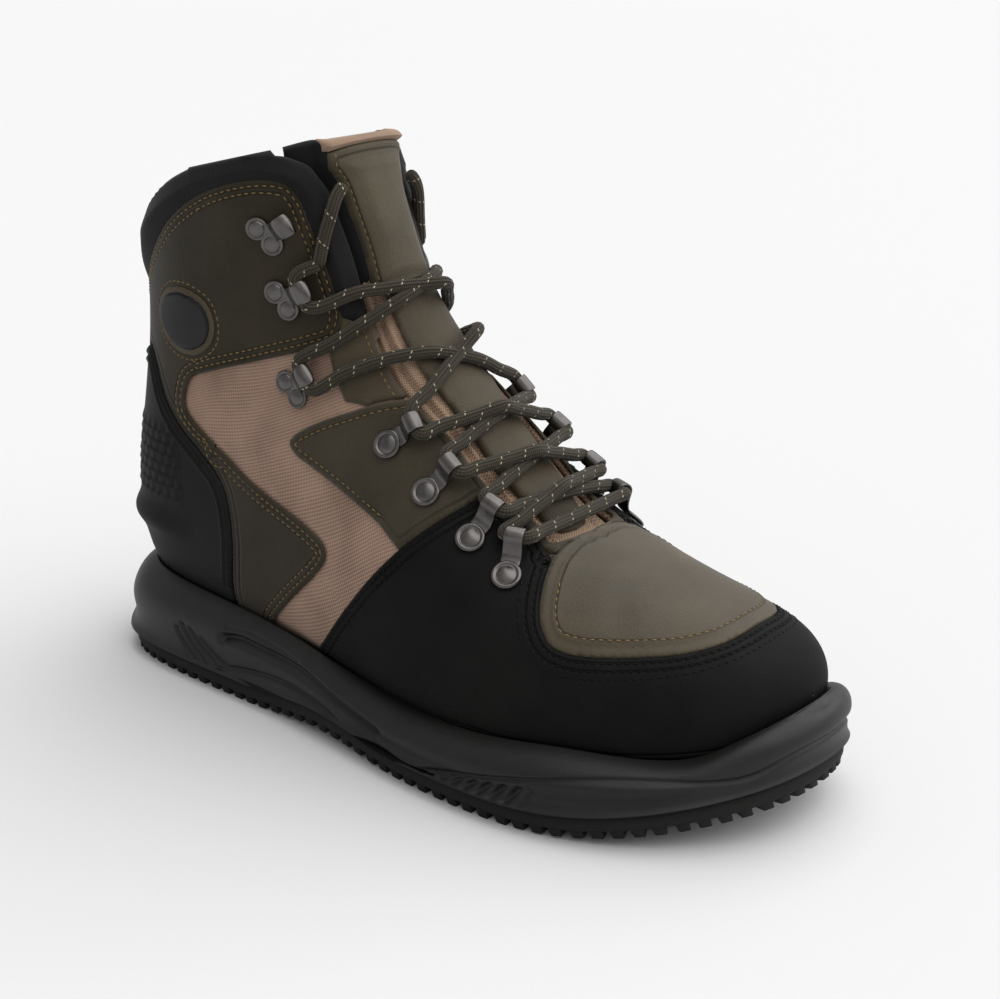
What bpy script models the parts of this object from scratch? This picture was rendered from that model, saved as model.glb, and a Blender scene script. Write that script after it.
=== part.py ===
"""Wading boot for the right foot: toe towards -Y, lateral side towards -X, sole standing on Z = 0.

Everything follows one last. Its sections fan from the toe to the collar, and each one is a pair of
half ovals between a low point, on the sole or the back of the heel, and a high point on the ridge.
A place on the last is a station (0 at the toe, 1 at the collar) and a ring share (0 at the low
point, 1 at the high point), on the lateral (-1) or the medial (+1) side.
"""
import math

import bmesh
import bpy
import numpy as np
from mathutils import Matrix, Vector

MM = 0.001

# Driving sizes
SOLE_LENGTH = 325 * MM
BALL_WIDTH = 122 * MM
LAST_WIDTH = 104 * MM
FOOTBED_HEIGHT = 20 * MM
HEEL_LIFT = 4 * MM
INSTEP_HEIGHT = 117 * MM
SHAFT_HEIGHT = 223 * MM
RIM_HEIGHT = 30 * MM
TOE_SPRING = 16 * MM
HEEL_BEVEL = 4 * MM
ARCH_LIFT = 3 * MM

# Thicknesses
GAP = 0.3 * MM
UPPER_WALL = 2.5 * MM
OVERLAY = 1.2 * MM
COUNTER_WALL = 1.6 * MM
COLLAR_WALL = 5.0 * MM
COLLAR_PROUD = 1.5 * MM
TONGUE_WALL = 4.5 * MM
TONGUE_REST = 0.5 * MM
INSOLE_WALL = 4.0 * MM
PLATE = 4.0 * MM
LUG_DEPTH = 5.0 * MM
FOOT_EDGE = 2.5 * MM
HEM_HEIGHT = 3.2 * MM
LIP = 1.5 * MM
CUP_ROOM = 1.5 * MM
TIP_ROOM = 0.3 * MM
FLARE = 1.0 * MM

# Hardware and lace
LACE_RADIUS = 2.5 * MM
PLATE_METAL = 1.2 * MM
SEAT_GAP = 0.5 * MM
STRAP_METAL = 1.0 * MM
EYELET_RADIUS = 5.5 * MM
EYELET_WIDTH = 6.0 * MM
LOOP_RADIUS = 3.5 * MM
LOOP_REACH = 13.5 * MM
HOOK_WIDTH = 8.5 * MM
HOOK_REACH = 12.0 * MM

# Lug pattern
LUG_PITCH = 13 * MM
LUG_LENGTH = 9 * MM
LUG_REACH = 9 * MM

LATERAL, MEDIAL = -1, 1

# Sections of the last. Along is a share of the sole's length. Heights are levels: 0 the footbed,
# 1 the instep, 2 the top of the shaft. Widths and centres are shares of the last's width, widest
# is the widest place's share of the section, and full says how square each half oval is.
# along low, level low, along high, level high, lateral, medial, widest, full low, full high,
# centre low, centre high
LAST = (
    (0.972, 0.10, 0.972, 0.27, 0.00, 0.00, 0.50, 2.4, 2.2, 0.12, 0.12),
    (0.960, 0.02, 0.963, 0.36, 0.17, 0.16, 0.50, 2.6, 2.2, 0.12, 0.12),
    (0.929, -0.01, 0.935, 0.45, 0.30, 0.29, 0.46, 3.2, 2.2, 0.10, 0.10),
    (0.874, -0.01, 0.886, 0.51, 0.39, 0.39, 0.42, 4.0, 2.2, 0.07, 0.08),
    (0.806, 0.00, 0.818, 0.56, 0.45, 0.45, 0.38, 4.6, 2.2, 0.05, 0.07),
    (0.723, 0.00, 0.738, 0.64, 0.49, 0.49, 0.35, 4.8, 2.2, 0.03, 0.06),
    (0.631, 0.00, 0.649, 0.79, 0.50, 0.50, 0.32, 4.6, 2.2, 0.01, 0.06),
    (0.529, 0.00, 0.578, 1.00, 0.47, 0.46, 0.30, 4.2, 2.2, 0.00, 0.06),
    (0.425, 0.00, 0.514, 1.20, 0.42, 0.41, 0.30, 3.9, 2.2, 0.00, 0.06),
    (0.317, 0.00, 0.468, 1.38, 0.38, 0.38, 0.33, 3.6, 2.2, 0.00, 0.05),
    (0.203, 0.00, 0.440, 1.53, 0.36, 0.36, 0.36, 3.4, 2.3, 0.00, 0.04),
    (0.102, 0.02, 0.425, 1.66, 0.34, 0.35, 0.42, 3.1, 2.4, 0.00, 0.03),
    (0.043, 0.14, 0.414, 1.76, 0.34, 0.35, 0.46, 2.6, 2.5, 0.00, 0.02),
    (0.025, 0.39, 0.408, 1.83, 0.35, 0.36, 0.50, 2.3, 2.5, 0.00, 0.01),
    (0.034, 0.70, 0.403, 1.88, 0.35, 0.36, 0.50, 2.1, 2.5, 0.00, 0.01),
    (0.052, 1.03, 0.400, 1.93, 0.36, 0.36, 0.50, 2.0, 2.5, 0.00, 0.00),
    (0.062, 1.35, 0.398, 1.97, 0.37, 0.37, 0.50, 2.0, 2.5, 0.00, 0.00),
    (0.065, 1.72, 0.397, 2.00, 0.38, 0.38, 0.50, 2.0, 2.5, 0.00, 0.00),
)

# Sole outline: along as a share of the sole's length, half widths as shares of the ball's width
OUTLINE = (
    (0.020, 0.164, 0.164), (0.060, 0.279, 0.279), (0.120, 0.336, 0.336), (0.200, 0.361, 0.352),
    (0.300, 0.377, 0.320), (0.400, 0.402, 0.295), (0.500, 0.443, 0.320), (0.600, 0.484, 0.410),
    (0.680, 0.500, 0.475), (0.750, 0.492, 0.500), (0.820, 0.451, 0.500), (0.890, 0.361, 0.467),
    (0.950, 0.230, 0.385), (0.985, 0.098, 0.279),
)
TOE_TIP = (1.0, 0.098)

# Rim of the midsole: along, height as a share of the rim's height at the ball, level of the
# channel that runs round its side
RIM = (
    (0.00, 1.27, 0.50), (0.10, 1.25, 0.52), (0.25, 1.20, 0.52), (0.36, 1.10, 0.44),
    (0.45, 0.96, 0.40), (0.53, 0.86, 0.36), (0.60, 0.84, 0.34), (0.68, 0.88, 0.34),
    (0.78, 0.99, 0.33), (0.87, 1.00, 0.33), (0.92, 1.10, 0.36), (0.955, 1.34, 0.38),
    (1.00, 1.62, 0.40),
)

# Side of the midsole: level of each ridge or groove from its channel, outset in millimetres
CHANNEL_EDGE = 0.07
CHANNEL_DEPTH = 1.6 * MM

# Front edge of the upper: station, ring share
THROAT = (
    (0.285, 1.000), (0.292, 0.920), (0.305, 0.900), (0.345, 0.887), (0.395, 0.867),
    (0.448, 0.857), (0.495, 0.830), (0.540, 0.826), (0.593, 0.840), (0.640, 0.852),
    (0.700, 0.856), (0.770, 0.852), (0.830, 0.838), (0.872, 0.823), (0.920, 0.798),
    (0.960, 0.755), (0.985, 0.700), (1.000, 0.620),
)

# Panel edges: station, ring share
COLLAR_LINE = (
    (0.900, 0.000), (0.912, 0.200), (0.937, 0.333), (0.957, 0.427), (0.965, 0.530),
    (0.945, 0.663), (0.898, 0.743), (0.850, 0.768), (0.790, 0.783), (0.698, 0.797),
    (0.650, 0.797), (0.625, 0.818), (0.605, 0.845),
)
ANKLE_FRONT = (
    (0.640, 0.797), (0.628, 0.785), (0.624, 0.757), (0.640, 0.723), (0.703, 0.610),
    (0.752, 0.513), (0.767, 0.485), (0.764, 0.472), (0.748, 0.472), (0.660, 0.517),
    (0.520, 0.540), (0.512, 0.532), (0.512, 0.518), (0.560, 0.297),
)
COUNTER_LINE = (
    (0.875, 0.000), (0.872, 0.200), (0.863, 0.280), (0.782, 0.403), (0.735, 0.465),
    (0.710, 0.488), (0.665, 0.497), (0.628, 0.467), (0.605, 0.293),
)
QUARTER_BACK = (
    (0.495, 0.827), (0.520, 0.773), (0.550, 0.713), (0.577, 0.668), (0.593, 0.640),
    (0.605, 0.617), (0.607, 0.603), (0.592, 0.600), (0.570, 0.606), (0.522, 0.620),
    (0.457, 0.637),
)
RAND_TOP = (
    (0.510, 0.230), (0.492, 0.383), (0.472, 0.497), (0.448, 0.555), (0.422, 0.633),
    (0.400, 0.707), (0.378, 0.800), (0.370, 0.845), (0.355, 0.864), (0.335, 0.875),
    (0.303, 0.873), (0.286, 0.863),
)
VAMP_EDGE = (
    (0.278, 0.800), (0.268, 0.740), (0.259, 0.700), (0.245, 0.667), (0.227, 0.662),
    (0.202, 0.680), (0.165, 0.726), (0.140, 0.775), (0.122, 0.850), (0.115, 0.930),
    (0.114, 1.000),
)

# Eyelets and hooks from the toe up: base station, base ring, tip station, tip ring, seat (1 on a
# panel, 0 on the bare upper), and the millimetres between the metal and the lace on its toe side
# and on its collar side
EYELETS = (
    (0.307, 0.757, 0.318, 0.840, 1, 0.4, 1.3), (0.355, 0.763, 0.352, 0.835, 1, 1.0, 1.0),
    (0.420, 0.750, 0.408, 0.825, 1, 2.7, 2.7), (0.485, 0.743, 0.466, 0.810, 1, 2.7, 2.7),
)
HOOKS = (
    (0.638, 0.657, 0.615, 0.715, 0, 1.8, 1.8), (0.717, 0.697, 0.700, 0.750, 1, 2.7, 2.7),
    (0.828, 0.680, 0.812, 0.735, 1, 2.7, 2.7),
)

# Badge: station and ring of its centre, half width and half height
BADGE = (0.837, 0.465, 14.0 * MM, 11.3 * MM)

# Hidden end of the lace, from the middle hook to behind the collar: station, ring, lift
LACE_END = (
    (0.712, 0.782, 4.6), (0.728, 0.800, 4.6), (0.745, 0.818, 4.7), (0.762, 0.836, 4.9),
    (0.778, 0.852, 4.8), (0.792, 0.868, 4.2), (0.803, 0.882, 3.4),
)

STATIONS = (
    0, 0.012, 0.030, 0.060, 0.100, 0.150, 0.200, 0.250, 0.285, 0.300, 0.330, 0.370, 0.415,
    0.460, 0.510, 0.560, 0.605, 0.650, 0.700, 0.750, 0.800, 0.850, 0.900, 0.940, 0.975, 1.0,
)
COLUMNS = 7
SOLE_STEPS = 22


class Smooth:
    """Natural cubic spline through rows of values."""

    def __init__(self, knots, values):
        self.x = np.asarray(knots, float)
        self.y = np.asarray(values, float)
        step = np.diff(self.x)
        count = len(self.x)
        matrix = np.eye(count)
        right = np.zeros_like(self.y)
        for i in range(1, count - 1):
            matrix[i, i - 1:i + 2] = step[i - 1], 2 * (step[i - 1] + step[i]), step[i]
            rise = (self.y[i + 1] - self.y[i]) / step[i]
            fall = (self.y[i] - self.y[i - 1]) / step[i - 1]
            right[i] = 6 * (rise - fall)
        self.bend = np.linalg.solve(matrix, right)

    def __call__(self, at):
        at = float(np.clip(at, self.x[0], self.x[-1]))
        i = int(np.clip(np.searchsorted(self.x, at, side="right") - 1, 0, len(self.x) - 2))
        step = self.x[i + 1] - self.x[i]
        a = (self.x[i + 1] - at) / step
        b = 1 - a
        curve = ((a ** 3 - a) * self.bend[i] + (b ** 3 - b) * self.bend[i + 1]) * step * step / 6
        return a * self.y[i] + b * self.y[i + 1] + curve


def column(table, index):
    return [row[index] for row in table]


def smoothstep(value):
    value = min(1.0, max(0.0, value))
    return value * value * (3 - 2 * value)


# The sole's heights

def toe_rise(along):
    """Share of the toe spring: nothing up to the ball, all of it at the tip."""
    return max(0.0, along / SOLE_LENGTH - 0.723) ** 2 / 0.277 ** 2


def sole_bottom(along):
    """Ground face of the lugs: flat under heel and ball, lifted at arch, toe and heel edge."""
    share = along / SOLE_LENGTH
    toe = TOE_SPRING * toe_rise(along)
    heel = HEEL_BEVEL * (max(0.0, 0.055 - share) / 0.055) ** 2
    arch = 0.0
    if 0.29 < share < 0.58:
        arch = ARCH_LIFT * math.sin(math.pi * (share - 0.29) / 0.29) ** 2
    return toe + heel + arch


def footbed(along):
    """Inside floor: a little higher at the heel, and following most of the toe spring."""
    share = along / SOLE_LENGTH
    heel = HEEL_LIFT * min(1.0, max(0.0, (0.63 - share) / 0.43))
    return FOOTBED_HEIGHT + heel + 0.78 * TOE_SPRING * toe_rise(along)


RIM_HEIGHTS = Smooth(column(RIM, 0), column(RIM, 1))
CHANNEL_LEVELS = Smooth(column(RIM, 0), column(RIM, 2))


def rim(along):
    return RIM_HEIGHT * float(RIM_HEIGHTS(along / SOLE_LENGTH))


def midsole_bottom(along):
    return sole_bottom(along) + LUG_DEPTH + PLATE + GAP


# The last

def level_height(level):
    if level < 1:
        return FOOTBED_HEIGHT + level * (INSTEP_HEIGHT - FOOTBED_HEIGHT)
    return INSTEP_HEIGHT + (level - 1) * (SHAFT_HEIGHT - INSTEP_HEIGHT)


def last_rows():
    rows = []
    for low, low_level, high, high_level, lateral, medial, *rest in LAST:
        widest, full_low, full_high, centre_low, centre_high = rest
        low, high = low * SOLE_LENGTH, high * SOLE_LENGTH
        low_up = level_height(low_level) + footbed(low) - FOOTBED_HEIGHT
        rows.append((low, low_up, high, level_height(high_level), lateral * LAST_WIDTH,
                     medial * LAST_WIDTH, widest, full_low, full_high,
                     centre_low * LAST_WIDTH, centre_high * LAST_WIDTH))
    return np.array(rows)


ROWS = last_rows()
STRIDES = np.sqrt((np.diff(ROWS[:, :6], axis=0) ** 2).sum(1))
SECTIONS = Smooth(np.concatenate(([0], np.cumsum(STRIDES))) / STRIDES.sum(), ROWS)
THROAT_EDGE = Smooth(column(THROAT, 0), column(THROAT, 1))


def throat(station):
    """Ring share of the upper's front edge: 1 where the toe is closed."""
    if station <= THROAT[0][0]:
        return 1.0
    return float(THROAT_EDGE(station))


def last_point(station, ring, side):
    """Point of the last's surface: sideways, along from the heel, up."""
    low, low_up, high, high_up, lateral, medial, widest, full_low, full_high, cl, ch = SECTIONS(station)
    half = lateral if side == LATERAL else medial
    angle = math.pi * ring
    full = full_low if ring <= 0.5 else full_high
    depth = abs(math.cos(angle)) ** (2 / full)
    out = max(0.0, math.sin(angle)) ** (2 / full)
    share = widest * (1 - depth) if ring <= 0.5 else widest + (1 - widest) * depth
    return np.array((cl + (ch - cl) * share + side * half * out,
                     low + (high - low) * share, low_up + (high_up - low_up) * share))


def last_normal(station, ring, side):
    """Outward normal of the last, the same for both sides where they meet."""
    meets = ring in (0, 1) or station == 0
    if meets:
        side = LATERAL
    small = 0.004
    s0, s1 = max(0.0, station - small), min(1.0, station + small)
    r0, r1 = max(0.0, ring - small), min(1.0, ring + small)
    along = last_point(s1, ring, side) - last_point(s0, ring, side)
    across = last_point(station, r1, side) - last_point(station, r0, side)
    normal = np.cross(across, along) * side
    if meets:
        normal[0] = 0
    return normal / max(1e-12, float(np.linalg.norm(normal)))


def place(point):
    """Sideways, along and up to the world: the sole's middle is over the origin."""
    return Vector((point[0], SOLE_LENGTH / 2 - point[1], point[2]))


def on_last(station, ring, side, lift=0.0):
    point = last_point(station, ring, side)
    if lift:
        point = point + last_normal(station, ring, side) * lift
    return place(point)


def foot_ring(station, height):
    """Ring share at which the section stands this high over the footbed, 0 where it starts higher."""
    row = SECTIONS(station)
    low, low_up, high_up, widest, full = row[0], row[1], row[3], row[6], row[7]
    rise = footbed(low) + height(low) - low_up
    if rise <= 0:
        return 0.0
    share = min(1.0, rise / ((high_up - low_up) * widest))
    return math.acos((1 - share) ** (full / 2)) / math.pi


def level(value):
    return lambda along: value


# Scene, materials and small helpers

def clear_scene():
    for item in list(bpy.data.objects):
        bpy.data.objects.remove(item)


def collection(name):
    group = bpy.data.collections.new(name)
    bpy.context.scene.collection.children.link(group)
    return group


def material(name, colour, roughness, metallic=0.0):
    made = bpy.data.materials.new(name)
    made.use_nodes = True
    shader = made.node_tree.nodes["Principled BSDF"]
    shader.inputs["Base Color"].default_value = (*colour, 1)
    shader.inputs["Roughness"].default_value = roughness
    shader.inputs["Metallic"].default_value = metallic
    return made


def add_object(name, mesh, group, finish=None):
    item = bpy.data.objects.new(name, mesh)
    group.objects.link(item)
    if finish:
        mesh.materials.append(finish)
    return item


def mesh_from(name, bm):
    mesh = bpy.data.meshes.new(name)
    bm.to_mesh(mesh)
    bm.free()
    return mesh


def solidify(item, thickness, outward):
    wall = item.modifiers.new("Wall", "SOLIDIFY")
    wall.thickness = thickness
    wall.offset = 1 if outward else -1
    wall.use_even_offset = False
    return wall


def boolean(item, other, operation):
    cut = item.modifiers.new(operation.title(), "BOOLEAN")
    cut.object = other
    cut.operation = operation
    cut.solver = "EXACT"
    return cut


def apply_modifiers(item):
    """Replaces the object's mesh by its evaluated one."""
    graph = bpy.context.evaluated_depsgraph_get()
    mesh = bpy.data.meshes.new_from_object(item.evaluated_get(graph))
    item.modifiers.clear()
    item.data = mesh


# Walls that follow the last

def last_sheet(bm, side, bottom, top, lift, stations, columns):
    """One side of an open sheet over the last, between two ring shares at each station."""
    made = bmesh.ops.create_grid(bm, x_segments=columns, y_segments=len(stations) - 1, size=0.5)
    for vert in made["verts"]:
        across = vert.co.x + 0.5
        station = stations[round((vert.co.y + 0.5) * (len(stations) - 1))]
        low, high = bottom(station), top(station)
        ring = low + (high - low) * across
        raise_by = lift(station, ring) if callable(lift) else lift
        vert.co = on_last(station, ring, side, raise_by)
    faces = list({face for vert in made["verts"] for face in vert.link_faces})
    if side == MEDIAL:
        bmesh.ops.reverse_faces(bm, faces=faces)


def last_wall(name, group, finish, lift, thickness, outward, foot, top=throat, bottom=None,
              stations=STATIONS, columns=COLUMNS):
    """A wall over both sides of the last, joined where its edges meet."""
    bm = bmesh.new()
    height = level(foot)
    start = bottom or (lambda station: foot_ring(station, height))
    for side in (LATERAL, MEDIAL):
        last_sheet(bm, side, start, top, lift, stations, columns)
    bmesh.ops.remove_doubles(bm, verts=bm.verts, dist=0.02 * MM)
    bmesh.ops.triangulate(bm, faces=bm.faces, quad_method="FIXED")
    item = add_object(name, mesh_from(name, bm), group, finish)
    solidify(item, thickness, outward)
    return item


def side_view(edge):
    """Side-view places (along, up) of a panel edge on the last."""
    return [tuple(last_point(station, ring, LATERAL)[1:]) for station, ring in edge]


def inset(points, distance):
    """A closed side-view outline moved inwards by a distance."""
    loop = np.array(points)
    area = 0.5 * float(np.sum(loop[:, 0] * np.roll(loop[:, 1], -1) - np.roll(loop[:, 0], -1) * loop[:, 1]))
    turn = 1 if area > 0 else -1
    moved = []
    for i, point in enumerate(loop):
        before = point - loop[i - 1]
        after = loop[(i + 1) % len(loop)] - point
        before, after = before / np.linalg.norm(before), after / np.linalg.norm(after)
        bisector = np.array((-(before[1] + after[1]), before[0] + after[0]))
        bisector = bisector / max(1e-9, float(np.linalg.norm(bisector)))
        reach = distance / max(0.5, float(bisector @ np.array((-before[1], before[0]))))
        moved.append(tuple(point + turn * bisector * reach))
    return moved


def side_cutter(name, group, points, low, high):
    """A prism across the boot from an outline in side view."""
    bm = bmesh.new()
    near = [bm.verts.new(place((low, along, up))) for along, up in points]
    far = [bm.verts.new(place((high, along, up))) for along, up in points]
    bm.faces.new(near[::-1])
    bm.faces.new(far)
    for i in range(len(points)):
        j = (i + 1) % len(points)
        bm.faces.new((near[i], near[j], far[j], far[i]))
    if bm.calc_volume(signed=True) < 0:
        bmesh.ops.reverse_faces(bm, faces=bm.faces)
    item = add_object(name, mesh_from(name, bm), group)
    item.hide_render = True
    item.display_type = "WIRE"
    return item


# The sole

def outline_curve():
    """The sole's outline as a fine closed line from the heel's back, lateral side first."""
    points = [(0.0, 0.0)]
    points += [(-lateral * BALL_WIDTH, along * SOLE_LENGTH) for along, lateral, medial in OUTLINE]
    points += [(TOE_TIP[1] * BALL_WIDTH, TOE_TIP[0] * SOLE_LENGTH)]
    points += [(medial * BALL_WIDTH, along * SOLE_LENGTH) for along, lateral, medial in reversed(OUTLINE)]
    tip = len(OUTLINE) + 1
    wrap = 4
    loop = np.array(points[-wrap:] + points + points[:wrap + 1])
    knots = np.concatenate(([0], np.cumsum(np.linalg.norm(np.diff(loop, axis=0), axis=1) ** 0.6)))
    curve = Smooth(knots, loop)
    start, middle, end = knots[wrap], knots[wrap + tip], knots[wrap + len(points)]
    fine = 240
    halves = []
    for first, last in ((start, middle), (middle, end)):
        halves.append(np.array([curve(first + (last - first) * i / fine) for i in range(fine + 1)]))
    return halves


def spread(line, count):
    """Points at even steps along a fine line, both ends kept."""
    steps = np.linalg.norm(np.diff(line, axis=0), axis=1)
    length = np.concatenate(([0], np.cumsum(steps)))
    at = np.linspace(0, length[-1], count + 1)
    return np.stack([np.interp(at, length, line[:, i]) for i in range(line.shape[1])], 1)


OUTLINE_HALVES = outline_curve()


def sole_ring(outset, height):
    """Closed ring round the sole: outset from the outline, height given by the place along."""
    fine = np.concatenate((OUTLINE_HALVES[0][:-1], OUTLINE_HALVES[1][:-1]))
    tangent = np.roll(fine, -1, axis=0) - np.roll(fine, 1, axis=0)
    normal = np.stack((-tangent[:, 1], tangent[:, 0]), 1)
    normal = normal / np.linalg.norm(normal, axis=1)[:, None]
    moved = fine + normal * outset
    half = len(OUTLINE_HALVES[0]) - 1
    lateral = spread(moved[:half + 1], SOLE_STEPS)
    medial = spread(np.concatenate((moved[half:], moved[:1])), SOLE_STEPS)
    ring = np.concatenate((lateral[:-1], medial[:-1]))
    return [place((x, along, height(along))) for x, along in ring]


def last_ring(height, lift, flat=None):
    """Closed ring round the last at a height over the footbed, matching the sole's rings."""
    halves = []
    for side in (LATERAL, MEDIAL):
        line = []
        for station in np.linspace(0, 0.75, 301):
            ring = foot_ring(float(station), height)
            point = last_point(station, ring, side) + last_normal(station, ring, side) * lift
            if ring > 0:
                line.append(point)
            elif len(line) > 1:
                line.append(point)
                break
            else:
                line = [point]
        halves.append(spread(np.array(line), SOLE_STEPS))
    loop = np.concatenate((halves[0][::-1][:-1], halves[1][:-1]))
    return [place((x, along, flat(along) if flat else up)) for x, along, up in loop]


def loft(name, rings):
    """A solid through closed rings of equal count, its ends closed straight across."""
    bm = bmesh.new()
    loops = [[bm.verts.new(point) for point in ring] for ring in rings]
    count = len(loops[0])
    for low, high in zip(loops, loops[1:]):
        for i in range(count):
            j = (i + 1) % count
            bm.faces.new((low[i], low[j], high[j], high[i]))
    for loop in (loops[0], loops[-1]):
        bm.faces.new((loop[0], loop[1], loop[-1]))
        for i in range(1, count // 2 - 1):
            bm.faces.new((loop[i], loop[i + 1], loop[-i - 1], loop[-i]))
        middle = count // 2
        bm.faces.new((loop[middle - 1], loop[middle], loop[middle + 1]))
    bmesh.ops.recalc_face_normals(bm, faces=bm.faces)
    return mesh_from(name, bm)


def make_midsole(group, finish):
    def side(share, rise=0.0):
        def height(along):
            low, high = midsole_bottom(along), rim(along)
            base = float(CHANNEL_LEVELS(along / SOLE_LENGTH)) if share is None else share
            return low + (high - low) * (base + rise)
        return height

    cup = 2 * GAP + OVERLAY + CUP_ROOM
    to_rim = lambda along: rim(along) - footbed(along)
    floor = lambda along: footbed(along) + 0.8 * MM
    low_wall = lambda share: (lambda along: min(8 * MM, to_rim(along)) * share)
    wall = sole_ring(FLARE, side(1.0))
    lip = last_ring(to_rim, cup + LIP, flat=rim)

    def shoulder(share, height):
        """Ring between the outer wall and the lip, at a height of its own."""
        ring = [low.lerp(high, share) for low, high in zip(wall, lip)]
        return [Vector((p.x, p.y, height(SOLE_LENGTH / 2 - p.y))) for p in ring]

    rings = [
        sole_ring(-2.0 * MM, side(0.0)),
        sole_ring(-0.2 * MM, side(0.10)),
        sole_ring(0.2 * MM, side(None, -CHANNEL_EDGE)),
        sole_ring(0.4 * MM - CHANNEL_DEPTH, side(None)),
        sole_ring(0.6 * MM, side(None, CHANNEL_EDGE)),
        shoulder(0.10, side(0.64)),
        shoulder(0.38, side(0.82)),
        shoulder(0.75, side(0.95)),
        lip,
        last_ring(to_rim, cup, flat=lambda along: rim(along) - 0.5 * MM),
        last_ring(low_wall(0.88), cup),
        last_ring(low_wall(0.45), 0.9 * cup),
        last_ring(low_wall(0.18), 0.6 * cup, flat=floor),
    ]
    return add_object("midsole", loft("midsole", rings), group, finish)


def make_insole(group, finish):
    base = [Vector(point) for point in last_ring(level(FOOT_EDGE), 0)]
    margin = 2 * UPPER_WALL + 3 * GAP
    count = len(base)
    inner = []
    for i, point in enumerate(base):
        tangent = (base[(i + 1) % count] - base[i - 1]).normalized()
        inner.append(point + Vector((-tangent.y, tangent.x, 0)).normalized() * margin)
    rings = []
    for up in (0.8 * MM + GAP, 0.8 * MM + GAP + INSOLE_WALL):
        rings.append([Vector((p.x, p.y, footbed(SOLE_LENGTH / 2 - p.y) + up)) for p in inner])
    return add_object("insole", loft("insole", rings), group, finish)


def lug(bm, centre, inward, length, reach, inner_length):
    """One lug: a block that narrows inwards, from the ground to just inside the plate."""
    side = np.array((-inward[1], inward[0]))
    corners = (centre - side * length / 2, centre + side * length / 2,
               centre + inward * reach + side * inner_length / 2,
               centre + inward * reach - side * inner_length / 2)
    bottom = [bm.verts.new(place((x, along, sole_bottom(along)))) for x, along in corners]
    top = [bm.verts.new(place((x, along, sole_bottom(along) + LUG_DEPTH + 0.4 * PLATE)))
           for x, along in corners]
    bm.faces.new(bottom)
    bm.faces.new(top)
    for i in range(4):
        j = (i + 1) % 4
        bm.faces.new((bottom[i], bottom[j], top[j], top[i]))


def make_outsole(group, cutters, finish):
    plate_low = lambda along: sole_bottom(along) + LUG_DEPTH
    plate_high = lambda along: sole_bottom(along) + LUG_DEPTH + PLATE
    rings = [sole_ring(-2.6 * MM, plate_low), sole_ring(-1.0 * MM, plate_high)]
    sole = add_object("outsole", loft("outsole", rings), group, finish)

    bm = bmesh.new()
    fine = np.concatenate((OUTLINE_HALVES[0][:-1], OUTLINE_HALVES[1][:-1], OUTLINE_HALVES[0][:1]))
    count = round(float(np.linalg.norm(np.diff(fine, axis=0), axis=1).sum()) / LUG_PITCH)
    line = spread(fine, count)[:-1]
    for i, point in enumerate(line):
        tangent = line[(i + 1) % count] - line[i - 1]
        inward = np.array((tangent[1], -tangent[0])) / np.linalg.norm(tangent)
        lug(bm, point + inward * 2.9 * MM, inward, LUG_LENGTH, LUG_REACH, 0.62 * LUG_LENGTH)
    ahead = np.array((0.0, 1.0))
    for share, centre, length in ((0.10, 0.0, 0.30), (0.17, 0.0, 0.36), (0.24, 0.0, 0.30),
                                  (0.56, 0.02, 0.34), (0.63, 0.03, 0.44), (0.70, 0.04, 0.50),
                                  (0.77, 0.05, 0.44), (0.84, 0.07, 0.34)):
        middle = np.array((centre * BALL_WIDTH, share * SOLE_LENGTH))
        lug(bm, middle - ahead * 0.5 * LUG_PITCH, ahead, length * BALL_WIDTH, LUG_PITCH,
            length * BALL_WIDTH)
    bmesh.ops.recalc_face_normals(bm, faces=bm.faces)
    lugs = add_object("lugs", mesh_from("lugs", bm), cutters)
    lugs.hide_render = True
    lugs.display_type = "WIRE"
    boolean(sole, lugs, "UNION")
    return sole


# Panels

def extra(point, along, up):
    """One more corner of a side outline, stepped off from a point."""
    return [(point[0] + along, point[1] + up)]


def hem(start, end):
    """Lower edge of the panels: a line that follows the footbed, inside the midsole's cup."""
    places = np.linspace(start, end, 9)
    return [(float(along), footbed(min(along, SOLE_LENGTH)) + HEM_HEIGHT * (1 + 2.6 * toe_rise(along)))
            for along in places]


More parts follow.
